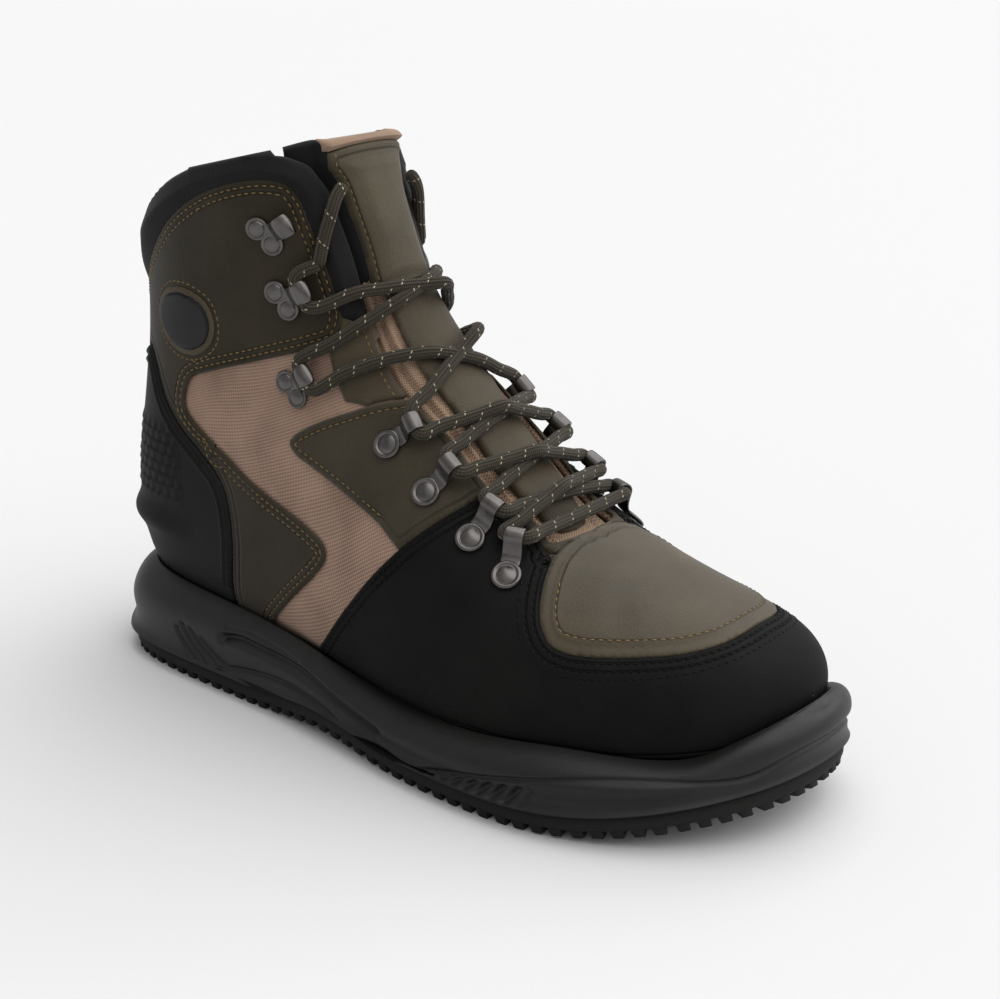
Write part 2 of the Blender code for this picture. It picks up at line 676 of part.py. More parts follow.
def make_panels(group, cutters, paint):
    """Upper, collar and the panels between two forms of the last, cut by shared side outlines."""
    wide = LAST_WIDTH
    behind, ahead, above = -0.1 * SOLE_LENGTH, 1.05 * SOLE_LENGTH, 1.15 * SHAFT_HEIGHT
    edge = side_view(COLLAR_LINE)
    collar_zone = [(behind, edge[0][1])] + edge + [(0.6 * SOLE_LENGTH, edge[-1][1]),
                                                   (0.6 * SOLE_LENGTH, above), (behind, above)]
    front = side_view(ANKLE_FRONT)
    ankle_zone = [(behind, edge[0][1])] + edge[:-3] + front
    ankle_zone += hem(front[-1][0] - 0.01 * SOLE_LENGTH, behind)
    counter_edge = side_view(COUNTER_LINE)
    counter_zone = [(behind, counter_edge[0][1])] + counter_edge
    counter_zone += hem(counter_edge[-1][0], behind)
    rand_edge, vamp_edge = side_view(RAND_TOP), side_view(VAMP_EDGE)
    ridge = side_view(((0.495, 1), (0.40, 1), (0.30, 1)))
    seam = side_view(((0.290, 0.93),)) + extra(ridge[2], 0.02 * SOLE_LENGTH, 0.03 * SOLE_LENGTH)
    quarter_zone = side_view(QUARTER_BACK) + rand_edge[4:] + seam
    quarter_zone += extra(ridge[1], 0.02 * SOLE_LENGTH, 0.03 * SOLE_LENGTH)
    quarter_zone += extra(ridge[0], 0, 0.01 * SOLE_LENGTH)
    vamp_zone = vamp_edge + extra(vamp_edge[-1], 0.01 * SOLE_LENGTH, 0.1 * SHAFT_HEIGHT)
    vamp_zone += seam[::-1] + [rand_edge[-1]]
    rand_zone = rand_edge[1:] + vamp_edge + extra(vamp_edge[-1], 0.01 * SOLE_LENGTH, 0.1 * SHAFT_HEIGHT)
    rand_zone += [(ahead, vamp_edge[-1][1] + 0.1 * SHAFT_HEIGHT)] + hem(ahead, rand_edge[1][0])

    upper = last_wall("upper", group, paint["nylon"], 0, UPPER_WALL, False, FOOT_EDGE)
    boolean(upper, side_cutter("collar_zone", cutters, collar_zone, -wide, wide), "DIFFERENCE")

    collar = last_wall("collar", group, paint["neoprene"], COLLAR_PROUD, COLLAR_WALL, False, FOOT_EDGE,
                       stations=STATIONS[15:])
    boolean(collar, side_cutter("collar_cut", cutters, inset(collar_zone, GAP), -wide, wide), "INTERSECT")

    def over_upper(station, ring):
        return GAP + TIP_ROOM * (1 - smoothstep(station / 0.05))

    def panel(name, finish, zone, thickness, low=-wide, high=wide):
        item = last_wall(name, group, finish, over_upper, thickness, True, FOOT_EDGE)
        cutter = side_cutter(name + "_cut", cutters, inset(zone, 0.7 * GAP), low, high)
        boolean(item, cutter, "INTERSECT")
        return item

    ankle = panel("ankle_panel", paint["olive"], ankle_zone, OVERLAY)
    boolean(ankle, side_cutter("counter_zone", cutters, counter_zone, -wide, wide), "DIFFERENCE")
    panel("heel_counter", paint["rubber"], counter_zone, COUNTER_WALL)
    middle = 0.06 * LAST_WIDTH
    panel("quarter_lateral", paint["olive"], quarter_zone, OVERLAY, -wide, middle)
    panel("quarter_medial", paint["olive"], quarter_zone, OVERLAY, middle, wide)
    panel("toe_rand", paint["rubber"], rand_zone, OVERLAY)
    panel("vamp_panel", paint["olive"], vamp_zone, OVERLAY)

    badge = last_wall("badge", group, paint["rubber"], 2 * GAP + OVERLAY, 0.8 * MM, True, FOOT_EDGE,
                      stations=STATIONS[18:])
    station, ring, half_width, half_height = BADGE
    middle = last_point(station, ring, LATERAL)
    oval = []
    for i in range(20):
        angle = math.tau * i / 20
        oval.append((middle[1] + half_width * math.cos(angle), middle[2] + half_height * math.sin(angle)))
    boolean(badge, side_cutter("badge_cut", cutters, oval, -wide, 0), "INTERSECT")


# Tongue

def tongue_start(station):
    """Ring share of the tongue's hidden margins, under the upper's front edges."""
    return throat(max(0.31, min(0.87, station))) - 0.10


def tongue_lift(station, ring):
    """Under the upper at its margins, rising to the last's own surface in the open throat."""
    under = UPPER_WALL + 4 * GAP
    if station > 0.55:
        under += (COLLAR_WALL - COLLAR_PROUD - UPPER_WALL + 2 * GAP) * smoothstep((station - 0.55) / 0.04)
    open_share = smoothstep((ring - throat(max(0.31, min(0.9, station))) - 0.018) / 0.05)
    open_share *= smoothstep((station - 0.305) / 0.03)
    return -under + (under - TONGUE_REST) * open_share


def make_tongue(group, paint):
    stations = (0.25, 0.28, 0.31, 0.34, 0.38, 0.43, 0.48, 0.53, 0.57, 0.61, 0.65, 0.70, 0.75,
                0.80, 0.85, 0.90, 0.95, 1.0)
    last_wall("tongue", group, paint["olive"], tongue_lift, TONGUE_WALL, False, 0,
              top=lambda station: 1.0, bottom=tongue_start, stations=stations, columns=6)
    start = lambda station: throat(min(0.87, station)) + 0.045
    pad_lift = lambda station, ring: tongue_lift(station, ring) + 2 * GAP
    last_wall("tongue_pad", group, paint["olive"], pad_lift, OVERLAY, True, 0,
              top=lambda station: 1.0, bottom=start, stations=stations[10:17], columns=4)


# Hardware

def seat_frame(base_station, base_ring, tip_station, tip_ring, side, lift):
    """Frame of a metal fitting: origin on its seat, X towards the throat, Z off the upper."""
    origin = on_last(base_station, base_ring, side, lift)
    up = Vector(last_normal(base_station, base_ring, side))
    up = Vector((up.x, -up.y, up.z)).normalized()
    ahead = on_last(tip_station, tip_ring, side, lift) - origin
    ahead = (ahead - up * ahead.dot(up)).normalized()
    across = up.cross(ahead)
    matrix = Matrix((ahead, across, up)).transposed().to_4x4()
    matrix.translation = origin
    inverse = matrix.inverted()
    highest = 0.0
    for station_step in range(-3, 4):
        for ring_step in range(-4, 5):
            near = on_last(base_station + 0.01 * station_step, base_ring + 0.02 * ring_step, side, lift)
            local = inverse @ near
            if local.xy.length < HOOK_REACH:
                highest = max(highest, local.z)
    matrix.translation = origin + up * highest
    return matrix


def strap(bm, path, width, thickness):
    """A bent metal strip: its path in XZ, its width along Y."""
    path = [Vector(point) for point in path]
    outer, inner = [], []
    for i, point in enumerate(path):
        before = path[max(0, i - 1)]
        after = path[min(len(path) - 1, i + 1)]
        tangent = (after - before).normalized()
        normal = Vector((-tangent.y, tangent.x))
        outer.append(point + normal * thickness / 2)
        inner.append(point - normal * thickness / 2)
    loop = outer + inner[::-1]
    sides = []
    for y in (-width / 2, width / 2):
        sides.append([bm.verts.new((point.x, y, point.y)) for point in loop])
    count = len(loop)
    for i in range(count):
        j = (i + 1) % count
        bm.faces.new((sides[0][i], sides[0][j], sides[1][j], sides[1][i]))
    half = count // 2
    for k in (0, 1):
        for i in range(half - 1):
            bm.faces.new((sides[k][i], sides[k][i + 1], sides[k][count - 2 - i], sides[k][count - 1 - i]))
    bmesh.ops.recalc_face_normals(bm, faces=bm.faces)


def fitting(name, group, cutters, finish, frame, discs, path, width):
    """A riveted plate joined with its bent strap."""
    base = bmesh.new()
    for x, y, radius in discs:
        bmesh.ops.create_cone(base, cap_ends=True, segments=10, radius1=radius, radius2=radius,
                              depth=PLATE_METAL, matrix=Matrix.Translation((x, y, PLATE_METAL / 2)))
    plate = add_object(name, mesh_from(name, base), group, finish)
    bent = bmesh.new()
    strap(bent, path, width, STRAP_METAL)
    other = add_object(name + "_strap", mesh_from(name + "_strap", bent), cutters)
    boolean(plate, other, "UNION")
    if len(discs) > 1:
        plate.modifiers[0].use_self = True
    apply_modifiers(plate)
    bpy.data.objects.remove(other)
    plate.matrix_world = frame
    return plate


def make_hardware(group, cutters, finish):
    loop = []
    centre = LOOP_RADIUS + STRAP_METAL / 2 + GAP
    for i in range(7):
        angle = math.radians(160 - i * 41)
        loop.append((LOOP_REACH + LOOP_RADIUS * math.cos(angle), centre + LOOP_RADIUS * math.sin(angle)))
    eyelet_path = [(1.0 * MM, 0.7 * MM), (6.5 * MM, 1.0 * MM), (8.6 * MM, 2.8 * MM)] + loop
    hook_path = [(share * HOOK_REACH, rise * MM) for share, rise in
                 ((-0.25, 0.7), (0.05, 1.1), (0.25, 3.0), (0.42, 5.6), (0.65, 6.7), (0.85, 6.3),
                  (0.98, 5.0), (1.0, 3.6))]
    for side, word in ((LATERAL, "lateral"), (MEDIAL, "medial")):
        for i, row in enumerate(EYELETS):
            seat = SEAT_GAP + (GAP + OVERLAY) * row[4]
            frame = seat_frame(*row[:4], side, seat)
            fitting(f"eyelet_{word}_{i + 1}", group, cutters, finish, frame,
                    [(0, 0, EYELET_RADIUS)], eyelet_path, EYELET_WIDTH)
        for i, row in enumerate(HOOKS):
            seat = SEAT_GAP + (GAP + OVERLAY) * row[4]
            frame = seat_frame(*row[:4], side, seat)
            lobe = 0.45 * HOOK_WIDTH
            fitting(f"hook_{word}_{i + 1}", group, cutters, finish, frame,
                    [(-3.0 * MM, lobe, 4.4 * MM), (-1.0 * MM, -lobe, 4.4 * MM)], hook_path, HOOK_WIDTH)


# Lace

def tube(name, group, finish, points, steps):
    """A round cord through smooth points, as a closed mesh."""
    line = np.array([tuple(point) for point in points])
    knots = np.concatenate(([0], np.cumsum(np.linalg.norm(np.diff(line, axis=0), axis=1))))
    smooth = Smooth(knots, line)
    curve = bpy.data.curves.new(name, "CURVE")
    curve.dimensions = "3D"
    curve.bevel_depth = LACE_RADIUS
    curve.bevel_resolution = 2
    curve.use_fill_caps = True
    spline = curve.splines.new("POLY")
    spline.points.add(steps)
    for i, point in enumerate(spline.points):
        point.co = (*smooth(knots[-1] * i / steps), 1)
    item = add_object(name, curve, group)
    graph = bpy.context.evaluated_depsgraph_get()
    mesh = bpy.data.meshes.new_from_object(item.evaluated_get(graph))
    bpy.data.objects.remove(item)
    bm = bmesh.new()
    bm.from_mesh(mesh)
    bmesh.ops.remove_doubles(bm, verts=bm.verts, dist=0.01 * MM)
    bmesh.ops.recalc_face_normals(bm, faces=bm.faces)
    made = add_object(name, mesh_from(name, bm), group, finish)
    return made


def fastening(number):
    """Row of a fitting counted from the toe: the eyelets, then the hooks."""
    return (EYELETS + HOOKS)[number]


def lace_exit(number, side, towards_toe):
    """Where the lace leaves a fitting: station, ring, and the point beside the metal."""
    row = fastening(number)
    hook = number >= len(EYELETS)
    reach, width = (HOOK_REACH * 0.7, HOOK_WIDTH) if hook else (LOOP_REACH, EYELET_WIDTH)
    frame = seat_frame(*row[:4], side, SEAT_GAP + (GAP + OVERLAY) * row[4])
    aside = width / 2 + LACE_RADIUS + row[5 if towards_toe else 6] * MM
    turn = 1 if (side == MEDIAL) == towards_toe else -1
    point = frame @ Vector((reach + LACE_RADIUS, turn * aside, LOOP_RADIUS + STRAP_METAL / 2 + GAP))
    return row[2] - (0.012 if towards_toe else -0.012), row[3] + 0.03, point


def lace_run(lateral, medial):
    """Points of one run over the tongue, between exits on the lateral and the medial side."""
    points = [lateral[2]]
    over_panel = 2 * GAP + OVERLAY + LACE_RADIUS + 0.3 * MM
    over_tongue = LACE_RADIUS + OVERLAY + 1.2 * MM
    for i in range(1, 8):
        across = i / 4 - 1
        share = (across + 1) / 2
        end = lateral if across < 0 else medial
        side = LATERAL if across < 0 else MEDIAL
        ring = 1 - (1 - end[1]) * abs(across)
        lift = over_tongue + (over_panel - over_tongue) * across * across
        points.append(on_last(lateral[0] + (medial[0] - lateral[0]) * share, ring, side, lift))
    return points + [medial[2]]


def make_lace(group, cutters, finish):
    bar = lace_run(lace_exit(0, LATERAL, True), lace_exit(0, MEDIAL, True))
    tube("lace_bar", group, finish, bar, 8)
    for i in range(5):
        name = f"lace_cross_{i + 1}"
        up = lace_run(lace_exit(i, LATERAL, False), lace_exit(i + 1, MEDIAL, True))
        down = lace_run(lace_exit(i + 1, LATERAL, True), lace_exit(i, MEDIAL, False))
        item = tube(name, group, finish, up, 8)
        other = tube(name + "_under", cutters, None, down, 8)
        boolean(item, other, "UNION")
        apply_modifiers(item)
        bpy.data.objects.remove(other)
    for side, word in ((LATERAL, "lateral"), (MEDIAL, "medial")):
        points = [on_last(station, ring, side, rise * MM) for station, ring, rise in LACE_END]
        tube("lace_end_" + word, group, finish, points, 7)


def shade(group):
    for item in group.objects:
        if item.type == "MESH":
            item.data.shade_smooth()
            item.data.set_sharp_from_angle(angle=math.radians(35))


def build():
    clear_scene()
    boot = collection("wading_boot")
    cutters = collection("cutters")
    paint = {
        "olive": material("olive synthetic leather", (0.068, 0.058, 0.038), 0.62),
        "nylon": material("taupe woven nylon", (0.33, 0.235, 0.18), 0.85),
        "rubber": material("black rubber", (0.012, 0.012, 0.012), 0.75),
        "midsole": material("black moulded foam", (0.022, 0.022, 0.022), 0.55),
        "neoprene": material("black neoprene", (0.008, 0.008, 0.008), 0.8),
        "metal": material("brushed gunmetal", (0.30, 0.29, 0.28), 0.35, 1.0),
        "lace": material("olive braided lace", (0.05, 0.045, 0.03), 0.8),
    }
    make_outsole(boot, cutters, paint["rubber"])
    make_midsole(boot, paint["midsole"])
    make_insole(boot, paint["neoprene"])
    make_panels(boot, cutters, paint)
    make_tongue(boot, paint)
    make_hardware(boot, cutters, paint["metal"])
    make_lace(boot, cutters, paint["lace"])
    shade(boot)


build()
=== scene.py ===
# %% [markdown]
# # A wading boot for the right foot
# This lesson dresses the boot's plain solids with the skins, seams, laces and metal of the real one.
# The toe points towards -Y, the outer (lateral) side towards -X, and the sole stands on Z = 0.
# Everything is placed on one last, the foot shape that a shoemaker builds on.

# %% The frame
import math

import bmesh
import bpy
import numpy as np
from mathutils import Matrix, Vector, bvhtree, kdtree


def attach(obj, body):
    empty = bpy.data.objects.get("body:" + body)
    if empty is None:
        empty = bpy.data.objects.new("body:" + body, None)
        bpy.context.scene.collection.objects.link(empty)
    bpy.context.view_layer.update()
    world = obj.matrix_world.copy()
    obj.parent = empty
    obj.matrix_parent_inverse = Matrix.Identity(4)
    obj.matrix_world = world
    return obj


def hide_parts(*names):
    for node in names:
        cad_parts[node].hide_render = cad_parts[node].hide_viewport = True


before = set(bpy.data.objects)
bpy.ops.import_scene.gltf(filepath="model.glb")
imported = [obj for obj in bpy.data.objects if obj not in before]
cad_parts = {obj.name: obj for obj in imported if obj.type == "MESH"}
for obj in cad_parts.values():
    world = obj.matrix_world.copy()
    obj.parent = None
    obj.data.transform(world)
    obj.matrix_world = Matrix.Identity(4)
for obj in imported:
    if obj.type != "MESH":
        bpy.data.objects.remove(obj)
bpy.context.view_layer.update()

MM = 0.001
print("solids:", len(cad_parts))

# %% [markdown]
# ## Camera, floor and light
# The photograph was taken from the boot's toe side and a little above it, on white paper. A camera with
# a medium long lens gives that view, and the floor is one big pale sheet. Two far, wide lamps and a white
# surrounding keep the shadows soft, as in a small studio tent.

# %% Camera, floor and light
camera = bpy.data.objects.new("camera", bpy.data.cameras.new("camera"))
camera.data.lens = 66.25
camera.data.sensor_width = 36
camera.location = (-0.5056, -0.4290, 0.3153)
camera.rotation_euler = Vector((0.7407, 0.5880, -0.3249)).to_track_quat("-Z", "Y").to_euler()
bpy.context.collection.objects.link(camera)
bpy.context.scene.camera = camera


def lamp(name, towards, strength, softness):
    """A far soft lamp, as wide as a big diffuser: where it stands from the boot, and how wide it looks."""
    data = bpy.data.lights.new(name, "SUN")
    data.energy, data.angle = strength, math.radians(softness)
    item = bpy.data.objects.new(name, data)
    item.location = towards
    item.rotation_euler = Vector(towards).to_track_quat("Z", "Y").to_euler()
    bpy.context.collection.objects.link(item)


lamp("overhead_diffuser", (0.50, -0.42, 1.0), 3.5, 100)
lamp("front_diffuser", (-0.50, -0.60, 1.0), 0.5, 80)
world = bpy.data.worlds.new("studio")
world.use_nodes = True
world.node_tree.nodes["Background"].inputs["Color"].default_value = (1, 1, 1, 1)
world.node_tree.nodes["Background"].inputs["Strength"].default_value = 0.5
bpy.context.scene.world = world
bpy.context.scene.view_settings.view_transform = "Standard"
print("camera and lamps are in place")

# %% [markdown]
# ## Colours and nodes
# Colours are written as the hex values that a colour picker shows on the photograph. The shader wants
# linear light, so one function turns them. One more small function adds a node with its settings, and a
# few short ones name the nodes that return most.

# %% Colours and nodes


def colour(code, alpha=1.0):
    """An sRGB hex colour as linear light."""
    values = [int(code[i:i + 2], 16) / 255 for i in (1, 3, 5)]
    return (*[v / 12.92 if v <= 0.04045 else ((v + 0.055) / 1.055) ** 2.4 for v in values], alpha)


def node(tree, kind, inputs=None, **settings):
    """Adds a node with its settings; each input is a value or another node's output."""
    made = tree.nodes.new("ShaderNode" + kind)
    for key, value in settings.items():
        setattr(made, key, value)
    for key, value in (inputs or {}).items():
        if isinstance(value, bpy.types.NodeSocket):
            tree.links.new(value, made.inputs[key])
        else:
            made.inputs[key].default_value = value
    return made


def new_material(name, **sockets):
    """A material with a Principled shader, its plain values set on the shader itself."""
    made = bpy.data.materials.new(name)
    made.use_nodes = True
    shader = made.node_tree.nodes["Principled BSDF"]
    for key, value in sockets.items():
        shader.inputs[key.replace("_", " ")].default_value = value
    return made, made.node_tree, shader


def maths(tree, operation, *values):
    return node(tree, "Math", dict(enumerate(values)), operation=operation).outputs[0]


def noise(tree, places, scale, detail=2.0, **inputs):
    return node(tree, "TexNoise", {"Vector": places, "Scale": scale, "Detail": detail, **inputs}).outputs["Fac"]


def span(tree, value, low=0.0, high=1.0, to_low=0.0, to_high=1.0, **settings):
    """A value stretched from one range to another."""
    inputs = {0: value, 1: low, 2: high, 3: to_low, 4: to_high}
    return node(tree, "MapRange", inputs, **settings).outputs[0]


def blend(tree, share, first, second, blend_type="MIX"):
    inputs = {0: share, 6: first, 7: second}
    return node(tree, "Mix", inputs, data_type="RGBA", blend_type=blend_type).outputs[2]


def bumped(tree, height, strength, distance, **inputs):
    inputs = {"Height": height, "Strength": strength, "Distance": distance, **inputs}
    return node(tree, "Bump", inputs).outputs[0]


def finish(tree, shader, base, normal=None, roughness=None):
    """Joins what was made to the shader."""
    for value, socket in ((base, "Base Color"), (normal, "Normal"), (roughness, "Roughness")):
        if value:
            tree.links.new(value, shader.inputs[socket])


floor_paint, tree, shader = new_material("white paper", Roughness=0.9)
fibre = noise(tree, node(tree, "TexCoord").outputs["Object"], 900.0)
finish(tree, shader, blend(tree, fibre, colour("#cdcdcd"), colour("#c9c9c9")))

bm = bmesh.new()
bmesh.ops.create_grid(bm, x_segments=2, y_segments=2, size=14)
floor_mesh = bpy.data.meshes.new("floor")
bm.to_mesh(floor_mesh)
bm.free()
floor_mesh.materials.append(floor_paint)
floor = bpy.data.objects.new("floor", floor_mesh)
bpy.context.collection.objects.link(floor)
print("floor:", tuple(round(v, 2) for v in floor.dimensions))

# %% [markdown]
# ## The last
# A boot is pulled over a last, so every skin here lies on one too. Its sections fan from the toe to the
# collar, and each is a pair of half ovals. A place is a station, 0 at the toe and 1 at the collar, and a
# ring share, 0 on the sole or the heel's back and 1 on the ridge, on the lateral (-1) or medial (+1)
# side. The sizes are those of the solids.

# %% The last
SOLE_LENGTH, BALL_WIDTH, LAST_WIDTH = 325 * MM, 122 * MM, 104 * MM
FOOTBED_HEIGHT, INSTEP_HEIGHT, SHAFT_HEIGHT = 20 * MM, 117 * MM, 223 * MM
TOE_SPRING = 16 * MM
LAST = (
    (0.972, 0.10, 0.972, 0.27, 0.00, 0.00, 0.50, 2.4, 2.2, 0.12, 0.12),
    (0.960, 0.02, 0.963, 0.36, 0.17, 0.16, 0.50, 2.6, 2.2, 0.12, 0.12),
    (0.929, -0.01, 0.935, 0.45, 0.30, 0.29, 0.46, 3.2, 2.2, 0.10, 0.10),
    (0.874, -0.01, 0.886, 0.51, 0.39, 0.39, 0.42, 4.0, 2.2, 0.07, 0.08),
    (0.806, 0.00, 0.818, 0.56, 0.45, 0.45, 0.38, 4.6, 2.2, 0.05, 0.07),
    (0.723, 0.00, 0.738, 0.64, 0.49, 0.49, 0.35, 4.8, 2.2, 0.03, 0.06),
    (0.631, 0.00, 0.649, 0.79, 0.50, 0.50, 0.32, 4.6, 2.2, 0.01, 0.06),
    (0.529, 0.00, 0.578, 1.00, 0.47, 0.46, 0.30, 4.2, 2.2, 0.00, 0.06),
    (0.425, 0.00, 0.514, 1.20, 0.42, 0.41, 0.30, 3.9, 2.2, 0.00, 0.06),
    (0.317, 0.00, 0.468, 1.38, 0.38, 0.38, 0.33, 3.6, 2.2, 0.00, 0.05),
    (0.203, 0.00, 0.440, 1.53, 0.36, 0.36, 0.36, 3.4, 2.3, 0.00, 0.04),
    (0.102, 0.02, 0.425, 1.66, 0.34, 0.35, 0.42, 3.1, 2.4, 0.00, 0.03),
    (0.043, 0.14, 0.414, 1.76, 0.34, 0.35, 0.46, 2.6, 2.5, 0.00, 0.02),
    (0.025, 0.39, 0.408, 1.83, 0.35, 0.36, 0.50, 2.3, 2.5, 0.00, 0.01),
    (0.034, 0.70, 0.403, 1.88, 0.35, 0.36, 0.50, 2.1, 2.5, 0.00, 0.01),
    (0.052, 1.03, 0.400, 1.93, 0.36, 0.36, 0.50, 2.0, 2.5, 0.00, 0.00),
    (0.062, 1.35, 0.398, 1.97, 0.37, 0.37, 0.50, 2.0, 2.5, 0.00, 0.00),
    (0.065, 1.72, 0.397, 2.00, 0.38, 0.38, 0.50, 2.0, 2.5, 0.00, 0.00),
)
THROAT = (
    (0.285, 1.000), (0.292, 0.920), (0.305, 0.900), (0.345, 0.887), (0.395, 0.867),
    (0.448, 0.857), (0.495, 0.830), (0.540, 0.826), (0.593, 0.840), (0.640, 0.852),
    (0.700, 0.856), (0.770, 0.852), (0.830, 0.838), (0.872, 0.823), (0.920, 0.798),
    (0.960, 0.755), (0.985, 0.700), (1.000, 0.620),
)


class Smooth:
    """Natural cubic spline through rows of values, read at one place or many."""

    def __init__(self, knots, values):
        self.x, self.y = np.asarray(knots, float), np.asarray(values, float)
        step = np.diff(self.x)
        matrix, right = np.eye(len(self.x)), np.zeros_like(self.y)
        for i in range(1, len(self.x) - 1):
            matrix[i, i - 1:i + 2] = step[i - 1], 2 * (step[i - 1] + step[i]), step[i]
            right[i] = 6 * ((self.y[i + 1] - self.y[i]) / step[i] - (self.y[i] - self.y[i - 1]) / step[i - 1])
        self.bend = np.linalg.solve(matrix, right)

    def __call__(self, at):
        at = np.clip(np.asarray(at, float), self.x[0], self.x[-1])
        i = np.clip(np.searchsorted(self.x, at, side="right") - 1, 0, len(self.x) - 2)
        step = self.x[i + 1] - self.x[i]
        a = (self.x[i + 1] - at) / step
        b = 1 - a
        if self.y.ndim > 1:
            a, b, step = a[..., None], b[..., None], step[..., None]
        curve = ((a ** 3 - a) * self.bend[i] + (b ** 3 - b) * self.bend[i + 1]) * step * step / 6
        return a * self.y[i] + b * self.y[i + 1] + curve


def ease(value):
    """Smooth step from 0 to 1."""
    value = np.clip(value, 0, 1)
    return value * value * (3 - 2 * value)


def toe_rise(along):
    return np.clip(along / SOLE_LENGTH - 0.723, 0, None) ** 2 / 0.277 ** 2


def sole_bottom(along):
    """Ground face of the lugs."""
    share = along / SOLE_LENGTH
    heel = 4 * MM * (np.clip(0.055 - share, 0, None) / 0.055) ** 2
    arch = 3 * MM * np.sin(np.pi * np.clip((share - 0.29) / 0.29, 0, 1)) ** 2
    return TOE_SPRING * toe_rise(along) + heel + arch


def footbed(along):
    heel = 4 * MM * np.clip((0.63 - along / SOLE_LENGTH) / 0.43, 0, 1)
    return FOOTBED_HEIGHT + heel + 0.78 * TOE_SPRING * toe_rise(along)


def level_height(level):
    if level < 1:
        return FOOTBED_HEIGHT + level * (INSTEP_HEIGHT - FOOTBED_HEIGHT)
    return INSTEP_HEIGHT + (level - 1) * (SHAFT_HEIGHT - INSTEP_HEIGHT)


rows = []
for low, low_level, high, high_level, lateral, medial, *rest in LAST:
    low_up = level_height(low_level) + footbed(low * SOLE_LENGTH) - FOOTBED_HEIGHT
    rows.append((low * SOLE_LENGTH, low_up, high * SOLE_LENGTH, level_height(high_level),
                 lateral * LAST_WIDTH, medial * LAST_WIDTH, *rest[:3],
                 rest[3] * LAST_WIDTH, rest[4] * LAST_WIDTH))
rows = np.array(rows)
strides = np.sqrt((np.diff(rows[:, :6], axis=0) ** 2).sum(1))
SECTIONS = Smooth(np.concatenate(([0], np.cumsum(strides))) / strides.sum(), rows)
THROAT_EDGE = Smooth([row[0] for row in THROAT], [row[1] for row in THROAT])


def throat(station):
    return np.where(station <= THROAT[0][0], 1.0, THROAT_EDGE(station))


def surface(station, ring, side):
    """Points of the last in the world."""
    station, ring, side = np.broadcast_arrays(*(np.asarray(v, float) for v in (station, ring, side)))
    low, low_up, high, high_up, lateral, medial, widest, full_low, full_high, cl, ch = \
        np.moveaxis(SECTIONS(station), -1, 0)
    full = np.where(ring <= 0.5, full_low, full_high)
    depth = np.abs(np.cos(np.pi * ring)) ** (2 / full)
    out = np.clip(np.sin(np.pi * ring), 0, 1) ** (2 / full)
    share = np.where(ring <= 0.5, widest * (1 - depth), widest + (1 - widest) * depth)
    x = cl + (ch - cl) * share + side * np.where(side < 0, lateral, medial) * out
    y = SOLE_LENGTH / 2 - (low + (high - low) * share)
    return np.stack((x, y, low_up + (high_up - low_up) * share), -1)


def outward(station, ring, side):
    """Outward normals of the last, the same for both sides where they meet."""
    station, ring, side = np.broadcast_arrays(*(np.asarray(v, float) for v in (station, ring, side)))
    meets = (ring < 1e-6) | (ring > 1 - 1e-6) | (station < 1e-6)
    side = np.where(meets, -1.0, side)
    small = 0.004
    s0, s1 = np.clip(station - small, 0, 1), np.clip(station + small, 0, 1)
    r0, r1 = np.clip(ring - small, 0, 1), np.clip(ring + small, 0, 1)
    along = surface(s1, ring, side) - surface(s0, ring, side)
    across = surface(station, r1, side) - surface(station, r0, side)
    normal = np.cross(along, across) * side[..., None]
    normal[..., 0] = np.where(meets, 0, normal[..., 0])
    return normal / np.maximum(np.linalg.norm(normal, axis=-1, keepdims=True), 1e-12)


def foot_ring(station, height):
    """Ring share at which the section stands this high over the footbed."""
    row = SECTIONS(station)
    low, low_up, high_up, widest, full = (row[..., i] for i in (0, 1, 3, 6, 7))
    rise = footbed(low) + height - low_up
    share = np.clip(rise / ((high_up - low_up) * widest), 0, 1)
    return np.arccos((1 - share) ** (full / 2)) / np.pi


print("ridge over the instep:", surface(0.45, 1, -1).round(3))

# %% [markdown]
# ## Skins on the last
# A panel of leather is a sheet with a cut edge. Each one starts as a fine grid laid on the last. The
# cells outside the panel's outline are deleted, and the ragged rim is drawn onto the outline. Then the
# sheet is doubled and the two sheets meet at the rim, so the panel is closed and its edge is soft.
# The distance from the edge and the distances along the last are kept with every point, because the
# stitches, the wear on the edge and the weave all follow them.

# %% Skins on the last
def reach_along(line):
    """How far each place on a line lies from its start."""
    return np.concatenate(([0], np.cumsum(np.linalg.norm(np.diff(line, axis=0), axis=1))))


def tree_of(points):
    """A tree that finds the nearest of many points."""
    made = kdtree.KDTree(len(points))
    for i, point in enumerate(points):
        made.insert(point, i)
    made.balance()
    return made


wide_s = np.linspace(0, 1, 1201)
stride = 0
for ring in (0.1, 0.3, 0.6, 0.85):
    stride = np.maximum(stride, np.linalg.norm(np.diff(surface(wide_s, ring, -1), axis=0), axis=1))
LENGTH_AT = np.concatenate(([0], np.cumsum(stride)))


